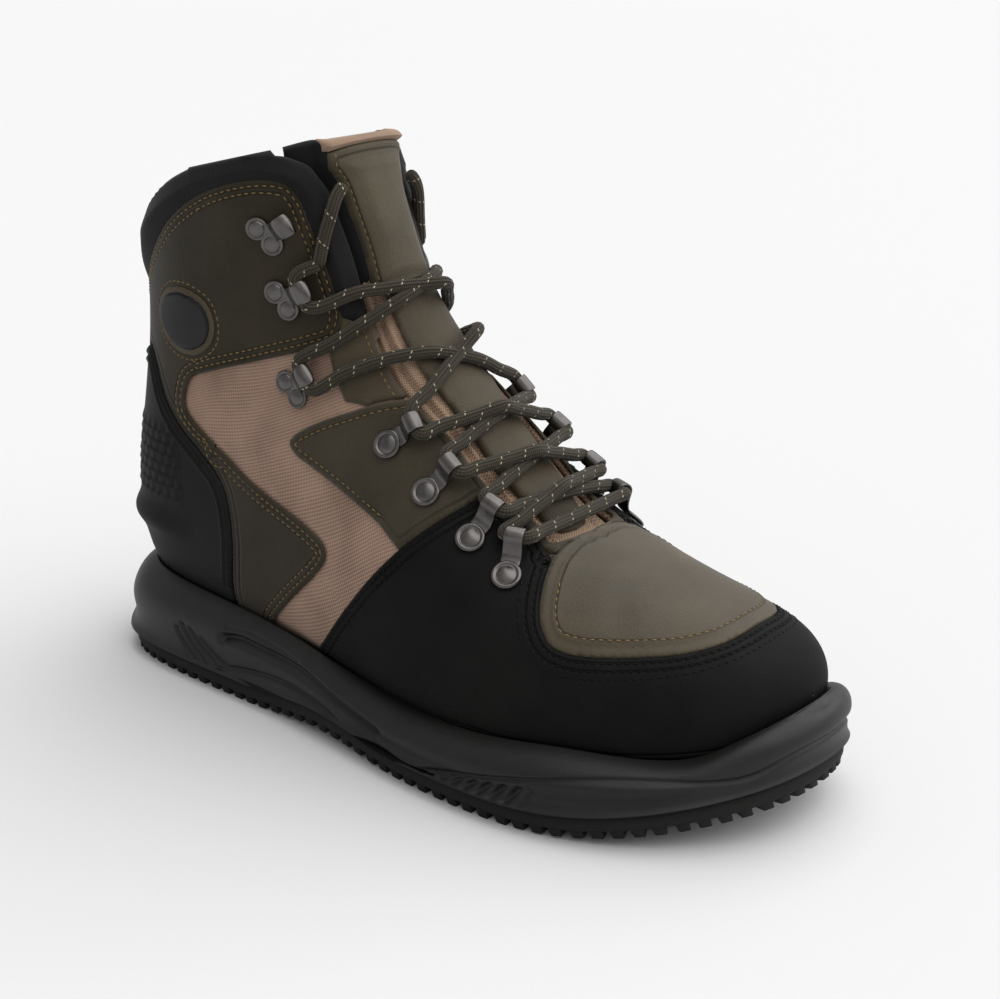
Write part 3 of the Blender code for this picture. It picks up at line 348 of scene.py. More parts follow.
def smooth_line(points, steps=16):
    """A smooth open line through places, without overshoot at tight turns (centripetal Catmull-Rom)."""
    points = np.array(points, float)
    line = [points[0]]
    padded = np.concatenate(([2 * points[0] - points[1]], points, [2 * points[-1] - points[-2]]))
    for p0, p1, p2, p3 in zip(padded, padded[1:], padded[2:], padded[3:]):
        k = np.concatenate(([0], np.cumsum([max(1e-6, np.linalg.norm(b - a)) ** 0.5
                                            for a, b in ((p0, p1), (p1, p2), (p2, p3))])))
        t = np.linspace(k[1], k[2], steps + 1)[1:, None]
        blend = lambda a, b, i, j: ((k[j] - t) * a + (t - k[i]) * b) / (k[j] - k[i])
        a1, a2, a3 = blend(p0, p1, 0, 1), blend(p1, p2, 1, 2), blend(p2, p3, 2, 3)
        line.extend(blend(blend(a1, a2, 0, 2), blend(a2, a3, 1, 3), 1, 2))
    return np.array(line)


TABLE = np.stack(np.meshgrid(np.linspace(0, 1, 501), np.linspace(0, 1, 361), indexing="ij"), -1).reshape(-1, 2)
table_points = surface(TABLE[:, 0], TABLE[:, 1], -1)
near_place = tree_of(table_points)


def slopes(places, side):
    """How the last's surface runs with the station and with the ring share."""
    small = 1e-4
    steps = ((small, 0), (-small, 0), (0, small), (0, -small))
    moved = [surface(places[:, 0] + i, places[:, 1] + j, side) for i, j in steps]
    return (moved[0] - moved[1]) / (2 * small), (moved[2] - moved[3]) / (2 * small)


def shift_on_last(places, side, offset):
    """Moves places on the last by an offset in space."""
    by_s, by_r = slopes(places, side)
    ss, sr, rr = (by_s * by_s).sum(1), (by_s * by_r).sum(1), (by_r * by_r).sum(1)
    so, ro = (by_s * offset).sum(1), (by_r * offset).sum(1)
    scale = np.maximum(ss * rr - sr * sr, 1e-12)
    return np.stack(((rr * so - sr * ro) / scale, (ss * ro - sr * so) / scale), 1)


def curve_through(places, steps=16):
    """A smooth edge through places on the last: drawn in space, then laid back on the last."""
    places = np.array(places, float)
    line = smooth_line(surface(places[:, 0], places[:, 1], -1), steps)
    found = TABLE[[near_place.find(point)[1] for point in line]]
    moved = shift_on_last(found, -1, line - surface(found[:, 0], found[:, 1], -1))
    found = found + np.clip(moved, -0.004, 0.004)
    found[::steps] = places
    return found


def inside(points, outline):
    """Which places lie inside a closed outline, by counting crossings."""
    x, y = points[:, 0], points[:, 1]
    found = np.zeros(len(points), bool)
    for (x0, y0), (x1, y1) in zip(outline, np.roll(outline, -1, axis=0)):
        if y0 != y1:
            crosses = (y0 > y) != (y1 > y)
            found ^= crosses & (x < (x1 - x0) * (y - y0) / (y1 - y0) + x0)
    return found


def dense(outline, step=0.4 * MM):
    """The outline with places close enough together to pull a rim onto."""
    made = []
    for a, b in zip(outline, np.roll(outline, -1, axis=0)):
        reach = np.linalg.norm((b - a) * (0.5, 0.16))
        count = max(1, int(reach / step))
        made.append(a + (b - a) * np.arange(count)[:, None] / count)
    return np.concatenate(made)


def add_piece(name, bm, material, slot, *nodes, smooth=True):
    """Puts a finished mesh in the scene, riding on the boot and standing for its solids."""
    mesh = bpy.data.meshes.new(name)
    bm.to_mesh(mesh)
    bm.free()
    mesh.polygons.foreach_set("use_smooth", [smooth] * len(mesh.polygons))
    for finish in material if isinstance(material, (list, tuple)) else [material]:
        mesh.materials.append(finish)
    item = bpy.data.objects.new(name, mesh)
    bpy.context.collection.objects.link(item)
    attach(item, "root")
    if nodes:
        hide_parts(*nodes)
    print(f"{name}: {len(mesh.polygons)} faces")
    return item


def skin(outline, lift, thickness, sides=(-1, 1), step=1.4 * MM, low=4 * MM, high=throat, roll=0.9 * MM,
         relief=None, under=None, start=None):
    """A closed sheet on the last, cut to an outline. Lift is to its underside."""
    outline = np.array(outline, float)
    bm = bmesh.new()
    names = ("station", "ring", "side", "u", "v")
    layers = {name: bm.verts.layers.float.new(name) for name in names}
    edge_layer = bm.verts.layers.float.new("edge")
    s0, s1 = max(0, outline[:, 0].min()), min(1, outline[:, 0].max())
    l0, l1 = np.interp((s0, s1), wide_s, LENGTH_AT)
    rows = max(4, int((l1 - l0) / step))
    stations = np.interp(np.linspace(l0, l1, rows + 1), LENGTH_AT, wide_s)
    foot = foot_ring(stations, low) if start is None else start(stations)
    bottom = np.maximum(foot, outline[:, 1].min())
    top = np.minimum(high(stations), outline[:, 1].max())
    top = np.maximum(top, bottom + 0.001)
    for side in sides:
        fine = np.linspace(0, 1, 241)
        rings = bottom[:, None] + (top - bottom)[:, None] * fine
        paths = surface(stations[:, None], rings, side)
        reach = np.concatenate((np.zeros((rows + 1, 1)),
                                np.cumsum(np.linalg.norm(np.diff(paths, axis=1), axis=2), axis=1)), axis=1)
        columns = max(3, int(reach[:, -1].max() / step))
        made = bmesh.ops.create_grid(bm, x_segments=columns, y_segments=rows, size=0.5)
        verts = made["verts"]
        places = np.array([vert.co[:2] for vert in verts]) + 0.5
        row = np.rint(places[:, 1] * rows).astype(int)
        ring = np.empty(len(verts))
        across = np.empty(len(verts))
        for i in range(rows + 1):
            chosen = np.flatnonzero(row == i)
            wanted = places[chosen, 0] * reach[i, -1]
            ring[chosen] = np.interp(wanted, reach[i], rings[i])
            across[chosen] = wanted - reach[i, -1]
        station = stations[row]
        values = (station, ring, np.full(len(verts), float(side)),
                  np.interp(station, wide_s, LENGTH_AT), across * side)
        for name, column in zip(names, values):
            layer = layers[name]
            for vert, value in zip(verts, column):
                vert[layer] = value
        if side > 0:
            bmesh.ops.reverse_faces(bm, faces=list({f for vert in verts for f in vert.link_faces}))

    def read():
        bm.verts.ensure_lookup_table()
        return [np.array([vert[layers[name]] for vert in bm.verts]) for name in names]

    station, ring, side, _, _ = read()
    bm.verts.index_update()
    faces = list(bm.faces)
    corners = np.array([[vert.index for vert in face.verts] for face in faces])
    centres = np.stack((station[corners].mean(1), ring[corners].mean(1)), 1)
    keep = inside(centres, outline)
    bmesh.ops.delete(bm, geom=[face for face, kept in zip(faces, keep) if not kept], context="FACES")
    station, ring, side, _, _ = read()
    for vert, point in zip(bm.verts, surface(station, ring, side)):
        vert.co = point
    bmesh.ops.remove_doubles(bm, verts=bm.verts, dist=0.01 * MM)

    samples = dense(outline)
    samples = samples[(samples[:, 1] > -0.004) & (samples[:, 1] < 1.004) & (samples[:, 0] > -0.002)]
    samples = np.clip(samples, 0, 1)
    rim = [vert for vert in bm.verts if vert.is_boundary]
    for one_side in sides:
        tree = tree_of(surface(samples[:, 0], samples[:, 1], one_side))
        for vert in rim:
            if vert[layers["side"]] == one_side:
                point, index, distance = tree.find(vert.co)
                seam = vert[layers["ring"]] in (0, 1)
                if distance < 1.5 * step and not (seam and 0.004 < samples[index, 1] < 0.996):
                    vert[layers["station"]], vert[layers["ring"]] = samples[index]
                    vert.co = point
    bmesh.ops.dissolve_degenerate(bm, edges=bm.edges, dist=0.02 * MM)
    rim = [vert for vert in bm.verts if vert.is_boundary]
    tree = tree_of([vert.co for vert in rim])
    for vert in bm.verts:
        vert[edge_layer] = 0 if vert.is_boundary else tree.find(vert.co)[2]
    uv = bm.loops.layers.uv.new("UVMap")
    for face in bm.faces:
        for loop in face.loops:
            loop[uv].uv = loop.vert[layers["u"]], loop.vert[layers["v"]]

    station, ring, side, _, _ = read()
    edge = np.array([vert[edge_layer] for vert in bm.verts])
    base = surface(station, ring, side)
    normal = outward(station, ring, side)
    rolled = np.sqrt(1 - (1 - np.clip(edge / roll, 0, 1)) ** 2)
    floor_lift = lift(station, ring) if callable(lift) else lift
    middle = floor_lift + thickness / 2
    extra = relief(station, ring, side, base, edge) if relief else 0
    outer = base + normal * (middle + (thickness / 2 + extra) * rolled)[:, None]
    inner_lift = middle - thickness / 2 * rolled
    if under:
        inner_lift = inner_lift - under * rolled
    inner = base + normal * inner_lift[:, None]
    first = list(bm.verts)
    copy = bmesh.ops.duplicate(bm, geom=first + bm.edges[:] + bm.faces[:])
    second = [item for item in copy["geom"] if isinstance(item, bmesh.types.BMFace)]
    twins = copy["vert_map"]
    for vert, high_point, low_point in zip(first, outer, inner):
        twin = twins[vert]
        vert.co = high_point
        twin.co = low_point
    bmesh.ops.reverse_faces(bm, faces=second)
    rims = [vert for vert in bm.verts if vert.is_boundary]
    bmesh.ops.remove_doubles(bm, verts=rims, dist=0.001 * MM)
    return bm

# %% [markdown]
# ## The panels' outlines
# The panel edges were read on the photograph as places on the last. Each list is one drawn edge, and a
# panel's outline is put together from them, so neighbours share their seam.

# %% The panels' outlines
COLLAR_LINE = (
    (0.916, 0.000), (0.924, 0.180), (0.942, 0.320), (0.957, 0.427), (0.965, 0.530),
    (0.945, 0.663), (0.898, 0.743), (0.850, 0.768), (0.790, 0.783), (0.698, 0.797),
    (0.650, 0.797), (0.625, 0.818), (0.605, 0.845),
)
ANKLE_FRONT = (
    (0.640, 0.797), (0.628, 0.785), (0.624, 0.757), (0.640, 0.723), (0.703, 0.610),
    (0.752, 0.513), (0.767, 0.485), (0.764, 0.472), (0.748, 0.472), (0.660, 0.517),
    (0.520, 0.540), (0.512, 0.532), (0.512, 0.518), (0.560, 0.297),
)
COUNTER_LINE = (
    (0.875, 0.000), (0.872, 0.200), (0.863, 0.280), (0.782, 0.403), (0.735, 0.465),
    (0.710, 0.488), (0.665, 0.497), (0.628, 0.467), (0.605, 0.293),
)
QUARTER_BACK = (
    (0.495, 0.827), (0.520, 0.773), (0.550, 0.713), (0.577, 0.668), (0.593, 0.640),
    (0.605, 0.617), (0.607, 0.603), (0.592, 0.600), (0.570, 0.606), (0.522, 0.620),
    (0.457, 0.637),
)
RAND_TOP = (
    (0.510, 0.230), (0.492, 0.383), (0.472, 0.497), (0.448, 0.555), (0.422, 0.633),
    (0.400, 0.707), (0.378, 0.800), (0.370, 0.845), (0.355, 0.864), (0.335, 0.875),
    (0.303, 0.873), (0.286, 0.863),
)
VAMP_EDGE = (
    (0.278, 0.800), (0.268, 0.740), (0.259, 0.700), (0.245, 0.667), (0.227, 0.662),
    (0.202, 0.680), (0.165, 0.726), (0.140, 0.775), (0.122, 0.850), (0.115, 0.930),
    (0.114, 1.000),
)
UNDERLAY_BACK = ((0.648, 0.800), (0.637, 0.806), (0.625, 0.820), (0.605, 0.833), (0.592, 0.842))
collar_edge = curve_through(COLLAR_LINE[:-3])
ankle_front = curve_through(ANKLE_FRONT)
counter_edge = curve_through(COUNTER_LINE)
quarter_back = curve_through(QUARTER_BACK)
rand_top = curve_through(RAND_TOP)
vamp_edge = curve_through(VAMP_EDGE)


def outline(*parts):
    return np.concatenate([np.atleast_2d(np.array(part, float)) for part in parts])


ANKLE = outline((0.916, -0.05), collar_edge, ankle_front, (0.575, -0.05), (0.600, -0.05),
                counter_edge[::-1], (0.875, -0.05))
COUNTER = outline((0.875, -0.05), counter_edge, (0.600, -0.05))
QUARTER = outline(quarter_back, rand_top[64:], (0.286, 0.93), (0.280, 1.05), (0.5, 1.05))
VAMP = outline(vamp_edge, (0.11, 1.05), (0.285, 1.05), (0.290, 0.93), (0.286, 0.863))
RAND = outline(rand_top, vamp_edge, (0.110, 1.05), (-0.05, 1.05), (-0.05, -0.05), (0.515, -0.05))
BELOW_COLLAR = outline((-0.05, -0.05), (0.916, -0.05), curve_through(COLLAR_LINE), (0.605, 1.05), (-0.05, 1.05))
print("outline points:", len(ANKLE), len(QUARTER), len(RAND))

# %% [markdown]
# ## Olive microfibre
# The panels are microfibre synthetic leather: polyester fibres felted in polyurethane, with a fine
# nubby grain and a matt, slightly waxy face. It darkens and lightens in soft patches, the cut edges are
# rubbed lighter, and the needle pulls a groove under each row of stitches; the colour in each groove is
# painted darker as shade. The grooves are drawn from the distance to the edge that every skin carries.

# %% Olive microfibre


def leather(name, dark, light, rubbed, roughness, grain=0.9 * MM, depth=0.25 * MM, grooves=(), sheen=0.06,
            gloss=0.25):
    """A grained sheet with tonal patches, rubbed edges and stitch grooves at distances from its edge, each groove
    painted darker as shade.
    """
    made, tree, shader = new_material(name, Roughness=roughness, Sheen_Weight=sheen, IOR=1.5,
                                      Specular_IOR_Level=gloss)
    places = node(tree, "TexCoord").outputs["Object"]
    edge = node(tree, "Attribute", attribute_name="edge").outputs["Fac"]
    patches = noise(tree, places, 28.0, 4.0, Roughness=0.6)
    fibres = noise(tree, places, 1 / (0.6 * MM), 3.0)
    pebbles = node(tree, "TexVoronoi", {"Vector": places, "Scale": 1 / grain}, feature="SMOOTH_F1")
    base = blend(tree, span(tree, patches, 0.32, 0.68), colour(dark), colour(light))
    base = blend(tree, 1.0, base, span(tree, fibres, 0.35, 0.7, 0.86, 1.12), "MULTIPLY")
    base = blend(tree, span(tree, edge, 0.0, 1.1 * MM, 0.55, 0.0), base, colour(rubbed))
    height = maths(tree, "ADD", maths(tree, "MULTIPLY", pebbles.outputs["Distance"], 0.7), fibres)
    normal = bumped(tree, height, 0.5, depth)
    for place in grooves:
        apart = maths(tree, "ABSOLUTE", maths(tree, "SUBTRACT", edge, place))
        line = span(tree, apart, 0.0, 0.9 * MM, interpolation_type="SMOOTHSTEP")
        normal = bumped(tree, line, 0.9, 0.6 * MM, Normal=normal)
        # painted shade: the colour darkens to 0.72 of itself along each stitch groove
        base = blend(tree, 1.0, base, span(tree, line, to_low=0.72), "MULTIPLY")
    finish(tree, shader, base, normal, span(tree, fibres, to_low=roughness - 0.1, to_high=roughness + 0.1))
    return made


ANKLE_ROWS = (2.4 * MM, 4.9 * MM)
QUARTER_ROW = (3.0 * MM,)
VAMP_ROW = (5.6 * MM,)
# painted light and shade: the olive copies below are one leather in different tones; the ankle panel's and the
# quarters' darker tones are painted shade, and the vamp's lighter tone is painted light from above
olive = leather("microfibre leather, double sewn, painted shade", "#231e14", "#2e281d", "#474030", 0.62, grooves=ANKLE_ROWS,
                gloss=0.15)
olive_quarter_painted_shade = leather("microfibre leather, sewn, painted shade", "#2d281c", "#3a3326", "#51493a", 0.60, grooves=QUARTER_ROW,
                        gloss=0.18)
olive_vamp_painted_light = leather("microfibre leather, layered, painted light", "#3b3427", "#494031", "#5f5643", 0.56, grooves=VAMP_ROW)
olive_plain = leather("microfibre leather", "#393226", "#473e2f", "#554c3b", 0.62, gloss=0.18)
RAND_ROWS = (2.2 * MM, 5.0 * MM)
rubber_skin = leather("rubberised nubuck", "#0b0b0b", "#121211", "#222221", 0.66, grain=0.6 * MM, grooves=RAND_ROWS,
                      sheen=0.0, gloss=0.09)
print("leathers:", olive.name, rubber_skin.name)

# %% [markdown]
# ## Taupe woven nylon
# Between the panels shows a tight basket weave of texturised nylon. Each yarn is about three quarters of
# a millimetre wide, so the pattern is two crossed waves on the skin's own flat map, and their product
# says which yarn lies on top. Real yarns vary, so a little noise shifts the colour. The colour also
# darkens where the weave sinks, as painted shade in its hollows.

# %% Taupe woven nylon
WAVE_PERIOD = 2 * math.pi / 20


def crossed_waves(tree, yarn, ways, distortion=0.0):
    """Two rows of waves on the flat map, two yarns to a wave."""
    flat = node(tree, "UVMap").outputs["UV"]
    inputs = {"Vector": flat, "Scale": WAVE_PERIOD / (2 * yarn), "Distortion": distortion}
    return [node(tree, "TexWave", inputs, bands_direction=way).outputs["Fac"] for way in ways]


def woven(name, dark, light, yarn, roughness=0.85, depth=0.4 * MM):
    made, tree, shader = new_material(name, Roughness=roughness, Sheen_Weight=0.1, Specular_IOR_Level=0.2)
    swings = [maths(tree, "MULTIPLY_ADD", wave, 2.0, -1.0) for wave in crossed_waves(tree, yarn, ("X", "Y"))]
    over = maths(tree, "MULTIPLY_ADD", maths(tree, "MULTIPLY", *swings), 0.5, 0.5)
    patch = noise(tree, node(tree, "TexCoord").outputs["Object"], 45.0, 5.0)
    # painted shade: the weave's low places are painted darker, and the noise adds real tonal patches
    patches_and_painted_shade = span(tree, maths(tree, "ADD", maths(tree, "MULTIPLY", over, 0.8), patch), 0.35, 1.25)
    finish(tree, shader, blend(tree, patches_and_painted_shade, colour(dark), colour(light)), bumped(tree, over, 0.7, depth))
    return made


taupe = woven("woven nylon", "#624c40", "#9f8472", yarn=0.95 * MM)
print("weave:", taupe.name)

# %% [markdown]
# ## Threads
# Bonded polyester thread, gold on the olive panels and black on the rubber. Each stitch is a small
# spindle that sinks into the leather at both ends, so it is made as one squashed ball.

# %% Threads


def thread(name, code, gloss):
    made, tree, shader = new_material(name, Roughness=0.6, Specular_IOR_Level=gloss)
    ply = noise(tree, node(tree, "TexCoord").outputs["Object"], 1 / (0.35 * MM))
    base = blend(tree, 1.0, colour(code), span(tree, ply, to_low=0.75, to_high=1.2), "MULTIPLY")
    finish(tree, shader, base, bumped(tree, ply, 0.4, 0.1 * MM))
    return made


gold_thread = thread("bonded polyester thread, gold", "#6f5a31", 0.3)
black_thread = thread("bonded polyester thread, black", "#060606", 0.12)


def sew(bm, line, region, inset, lift, sides=(-1, 1), pitch=3.0 * MM, length=2.3 * MM, radius=0.34 * MM,
        high=throat):
    """A row of stitches beside an edge, moved into its panel by an inset."""
    line = np.array(line, float)
    for side in sides:
        s, r = line[:, 0], line[:, 1]
        along = np.gradient(surface(s, r, side), axis=0)
        along /= np.maximum(np.linalg.norm(along, axis=1, keepdims=True), 1e-12)
        across = np.cross(outward(s, r, side), along)
        step = shift_on_last(line, side, across * inset)
        tries = [line + step, line - step]
        places = max(tries, key=lambda moved: inside(moved, region).sum())
        path = surface(places[:, 0], places[:, 1], side)
        reach = reach_along(path)
        at = np.arange(pitch / 2, reach[-1], pitch)
        s, r = np.interp(at, reach, places[:, 0]), np.interp(at, reach, places[:, 1])
        shown = inside(np.stack((s, r), 1), region) & (r > foot_ring(s, 5 * MM)) & (r < high(s) - 0.004)
        centre = surface(s, r, side)
        normal = outward(s, r, side)
        ahead_of = lambda way: np.stack([np.interp(at + way, reach, path[:, k]) for k in range(3)], 1)
        tangent = ahead_of(0.5 * MM) - ahead_of(-0.5 * MM)
        rises = np.broadcast_to(lift(s, r) if callable(lift) else lift, s.shape)
        for point, up, ahead, rise in zip(centre[shown], normal[shown], tangent[shown], rises[shown]):
            ahead = Vector(ahead).normalized()
            up = Vector(up)
            axes = ahead * length / 2, up.cross(ahead) * radius, up * radius * 0.8
            place = Matrix(axes).transposed().to_4x4()
            place.translation = Vector(point) + up * rise
            bmesh.ops.create_icosphere(bm, subdivisions=1, radius=1, matrix=place)


GAP, OVERLAY, WALL = 0.3 * MM, 1.2 * MM, 2.5 * MM
print("threads:", gold_thread.name, black_thread.name)

# %% [markdown]
# ## Soft creases
# Worn leather folds where the foot bends. Each crease is a shallow trough with a softer ridge beside it,
# drawn between two places on the last, and all the skins of the upper share them.

# %% Soft creases
CREASES = (
    # side, start, end, depth in millimetres, width in millimetres
    (-1, (0.400, 0.640), (0.440, 0.560), 0.5, 4.0), (-1, (0.445, 0.700), (0.485, 0.600), 0.35, 5.0),
    (-1, (0.330, 0.780), (0.345, 0.560), 0.5, 6.0), (-1, (0.270, 0.560), (0.300, 0.400), 0.5, 6.0),
    (-1, (0.700, 0.560), (0.600, 0.520), 0.4, 5.0), (1, (0.330, 0.780), (0.345, 0.560), 0.5, 6.0),
    (-1, (0.200, 0.740), (0.215, 0.900), 0.4, 6.0), (-1, (0.255, 0.760), (0.262, 0.960), 0.5, 6.0),
)


def creases(station, ring, side, base, edge):
    """How far the soft creases move the skin."""
    moved = np.zeros(len(station))
    for which, start, end, depth, width in CREASES:
        a, b = surface(*start, which), surface(*end, which)
        line = b - a
        t = np.clip(((base - a) @ line) / (line @ line), 0, 1)
        offset = base - a - t[:, None] * line
        far = np.linalg.norm(offset, axis=1) / (width * MM)
        fade = np.sin(np.pi * np.clip(t, 0.04, 0.96)) ** 0.7
        ridge, trough = 0.6 * np.exp(-((far - 1.6) / 0.7) ** 2), np.exp(-far * far * 2)
        moved += depth * MM * fade * (ridge - trough) * (side == which)
    return moved


print("creases:", len(CREASES))

# %% [markdown]
# ## The woven upper and the olive panels
# The woven upper is the base that the last pulls tight, and it shows between the panels. The ankle
# panel, the quarters and the vamp lie on it. The vamp has a second raised layer, 4 mm inside its edge.

# %% The woven upper and the olive panels
bm = skin(BELOW_COLLAR, -WALL, WALL, step=2.4 * MM, relief=creases)
add_piece("woven_upper", bm, taupe, "nylon", "upper")
bm = skin(ANKLE, GAP, OVERLAY, relief=creases, roll=1.3 * MM)
add_piece("ankle_panel_skin", bm, olive, "leather", "ankle_panel")
for side, word in ((-1, "lateral"), (1, "medial")):
    bm = skin(QUARTER, GAP, OVERLAY, sides=(side,), relief=creases, roll=1.2 * MM)
    add_piece(f"quarter_skin_{word}", bm, olive_quarter_painted_shade, "leather", f"quarter_{word}")


VAMP_LAYER = 0.7 * MM


def vamp_layers(station, ring, side, base, edge):
    second = VAMP_LAYER * ease((edge - 4.0 * MM) / (0.9 * MM))
    return second + creases(station, ring, side, base, edge)


bm = skin(VAMP, GAP, OVERLAY, relief=vamp_layers, step=1.1 * MM)
add_piece("vamp_skin", bm, olive_vamp_painted_light, "leather", "vamp_panel")
UNDERLAY = outline(UNDERLAY_BACK, (0.560, 0.850), (0.500, 0.850), (0.497, 0.826), (0.535, 0.745),
                   (0.563, 0.717),
                   (0.595, 0.727), (0.632, 0.745), (0.638, 0.775))
add_piece("underlay_skin", skin(UNDERLAY, 0.1 * MM, 0.9 * MM, relief=creases), olive_plain, "leather")

bm = bmesh.new()
top = GAP + OVERLAY
for inset in ANKLE_ROWS:
    sew(bm, np.concatenate((collar_edge, ankle_front)), ANKLE, inset, top)
sew(bm, quarter_back, QUARTER, QUARTER_ROW[0], top)
sew(bm, [(s, float(throat(s))) for s in np.linspace(0.31, 0.49, 60)], QUARTER, QUARTER_ROW[0], top)
sew(bm, vamp_edge, VAMP, VAMP_ROW[0], top + VAMP_LAYER)
sew(bm, [(s, float(throat(s))) for s in np.linspace(0.505, 0.60, 30)], UNDERLAY, 3.0 * MM, 1.0 * MM)
add_piece("gold_stitches", bm, gold_thread, "lace")

# %% [markdown]
# ## The rubber rand and the heel counter
# A rand of rubberised leather keeps stones off the toe. Three rows of black thread follow the vamp and
# two follow its rear edge. The heel counter is moulded rubber with two thin ribs along its front edge, a
# patch of small scales behind, and a ledge that helps to kick the boot off.

# %% The rubber rand and the heel counter
bm = skin(RAND, GAP, OVERLAY, relief=creases, step=1.5 * MM)
add_piece("rand_skin", bm, rubber_skin, "rubber", "toe_rand")
bm = bmesh.new()
for inset in RAND_ROWS:
    sew(bm, rand_top, RAND, inset, top)
for inset in (2.2 * MM, 5.0 * MM, 7.8 * MM):
    sew(bm, vamp_edge, RAND, inset, top, pitch=2.9 * MM, length=2.3 * MM)
add_piece("black_stitches", bm, black_thread, "lace")


LEDGE_HEIGHT, SCALES_FROM, SCALES_TO = 61 * MM, 70 * MM, 106 * MM
SCALE_PITCH = (4.6 * MM, 5.2 * MM)


def counter_shape(station, ring, side, base, edge):
    """Twin ribs along the edge, the ledge of the kick spur, and scales at the back."""
    on_edge = (base[:, 2] > 44 * MM)
    ribs = sum(np.exp(-((edge - place * MM) / (0.75 * MM)) ** 2) for place in (2.0, 5.0))
    ledge = np.exp(-((base[:, 2] - LEDGE_HEIGHT) / (5.5 * MM)) ** 2) * ease((base[:, 1] - 0.100) / (28 * MM))
    line = base[:, 2] / SCALE_PITCH[0]
    across = base[:, 1] / SCALE_PITCH[1] + 0.5 * (np.floor(line) % 2)
    scales = (1 - line % 1) * np.sqrt(np.abs(np.sin(np.pi * across)))
    scales *= ease((base[:, 1] - 0.106) / (4 * MM)) * ease((base[:, 2] - SCALES_FROM) / (3 * MM))
    scales *= ease((SCALES_TO - base[:, 2]) / (3 * MM))
    return 0.9 * MM * ribs * on_edge + 3.2 * MM * ledge + 0.7 * MM * scales


moulded = leather("moulded rubber", "#0b0b0b", "#111110", "#1f1f1e", 0.6, grain=0.5 * MM, depth=0.00012,
                 sheen=0.0, gloss=0.14)
bm = skin(COUNTER, GAP, 1.6 * MM, relief=counter_shape, step=1.1 * MM, roll=0.8 * MM)
add_piece("counter_skin", bm, moulded, "rubber", "heel_counter")

# %% [markdown]
# ## Grids bent into shape
# Cords, the midsole and the padding are all sheets in the end: one direction runs along the piece and
# the other goes round it. A plain grid is mapped onto the shape, its seam is merged and its ends filled.
# The flat map keeps real lengths, so a braid or a weave keeps its size.

# %% Grids bent into shape


def bent_grid(columns, rows, shape, flat=None, closed=False, fill=False):
    """A grid of columns by rows, placed by shape(a, b), with a and b from 0 to 1."""
    bm = bmesh.new()
    bmesh.ops.create_grid(bm, x_segments=columns, y_segments=rows, size=0.5)
    spots = np.array([vert.co[:2] for vert in bm.verts]) + 0.5
    points = shape(spots[:, 0], spots[:, 1])
    mapped = flat(spots[:, 0], spots[:, 1]) if flat else spots
    for i, (vert, point) in enumerate(zip(bm.verts, points)):
        vert.co = point
        vert.index = i
    uv = bm.loops.layers.uv.new("UVMap")
    for face in bm.faces:
        for loop in face.loops:
            loop[uv].uv = mapped[loop.vert.index]
    if closed:
        bmesh.ops.remove_doubles(bm, verts=[vert for vert in bm.verts if vert.is_boundary], dist=0.002 * MM)
    if fill:
        bmesh.ops.holes_fill(bm, edges=[edge for edge in bm.edges if edge.is_boundary], sides=0)
    bmesh.ops.recalc_face_normals(bm, faces=bm.faces)
    return bm


def evenly(line, count):
    """A line cut into equal lengths."""
    reach = reach_along(line)
    at = np.linspace(0, reach[-1], count + 1)
    return np.stack([np.interp(at, reach, line[:, k]) for k in range(line.shape[1])], 1)


def path_through(points, count):
    """Even points on a smooth curve through a few points."""
    points = np.array(points, float)
    knots = np.concatenate(([0], np.cumsum(np.linalg.norm(np.diff(points, axis=0), axis=1) ** 0.8)))
    fine = Smooth(knots, points)(np.linspace(0, knots[-1], 60 * len(points)))
    return evenly(fine, count - 1), reach_along(fine)[-1]


def tube(points, radius, count, sides=12):
    """A closed round cord along a smooth curve, with its length on the flat map."""
    path, length = path_through(points, count + 1)
    along = np.gradient(path, axis=0)
    along /= np.linalg.norm(along, axis=1, keepdims=True)
    first = np.cross(along[0], (0.0, 0.0, 1.0) if abs(along[0][2]) < 0.9 else (1.0, 0.0, 0.0))
    sideways = [first / np.linalg.norm(first)]
    for tangent in along[1:]:
        turned = sideways[-1] - tangent * (sideways[-1] @ tangent)
        sideways.append(turned / np.linalg.norm(turned))
    sideways = np.array(sideways)
    upwards = np.cross(along, sideways)
    ends = np.minimum(np.arange(count + 1), np.arange(count + 1)[::-1]) * length / count
    widths = radius * np.sqrt(1 - (1 - np.clip((ends + 0.35 * radius) / radius, 0, 1)) ** 2 * 0.999)

    def shape(a, b):
        i = np.rint(a * count).astype(int)
        angle = math.tau * b
        round_way = sideways[i] * np.cos(angle)[:, None] + upwards[i] * np.sin(angle)[:, None]
        return path[i] + round_way * widths[i, None]

    def flat(a, b):
        return np.stack((a * length, b * math.tau * radius), 1)

    return bent_grid(count, sides, shape, flat, closed=True, fill=True), path, length


print("helpers for bent grids are ready")

# %% [markdown]
# ## The midsole
# The midsole is one moulding of foam: a cup that holds the upper, with a wall that leans in to a rounded
# lip. The wall follows the sole's outline below and the last above. Its face carries moulded lines: a
# sweeping channel at the heel, a leaf with four cuts, a long step that rises to the toe bumper, and a
# panel of slanted ribs. They are drawn as lines in side view, and the wall sinks near them.

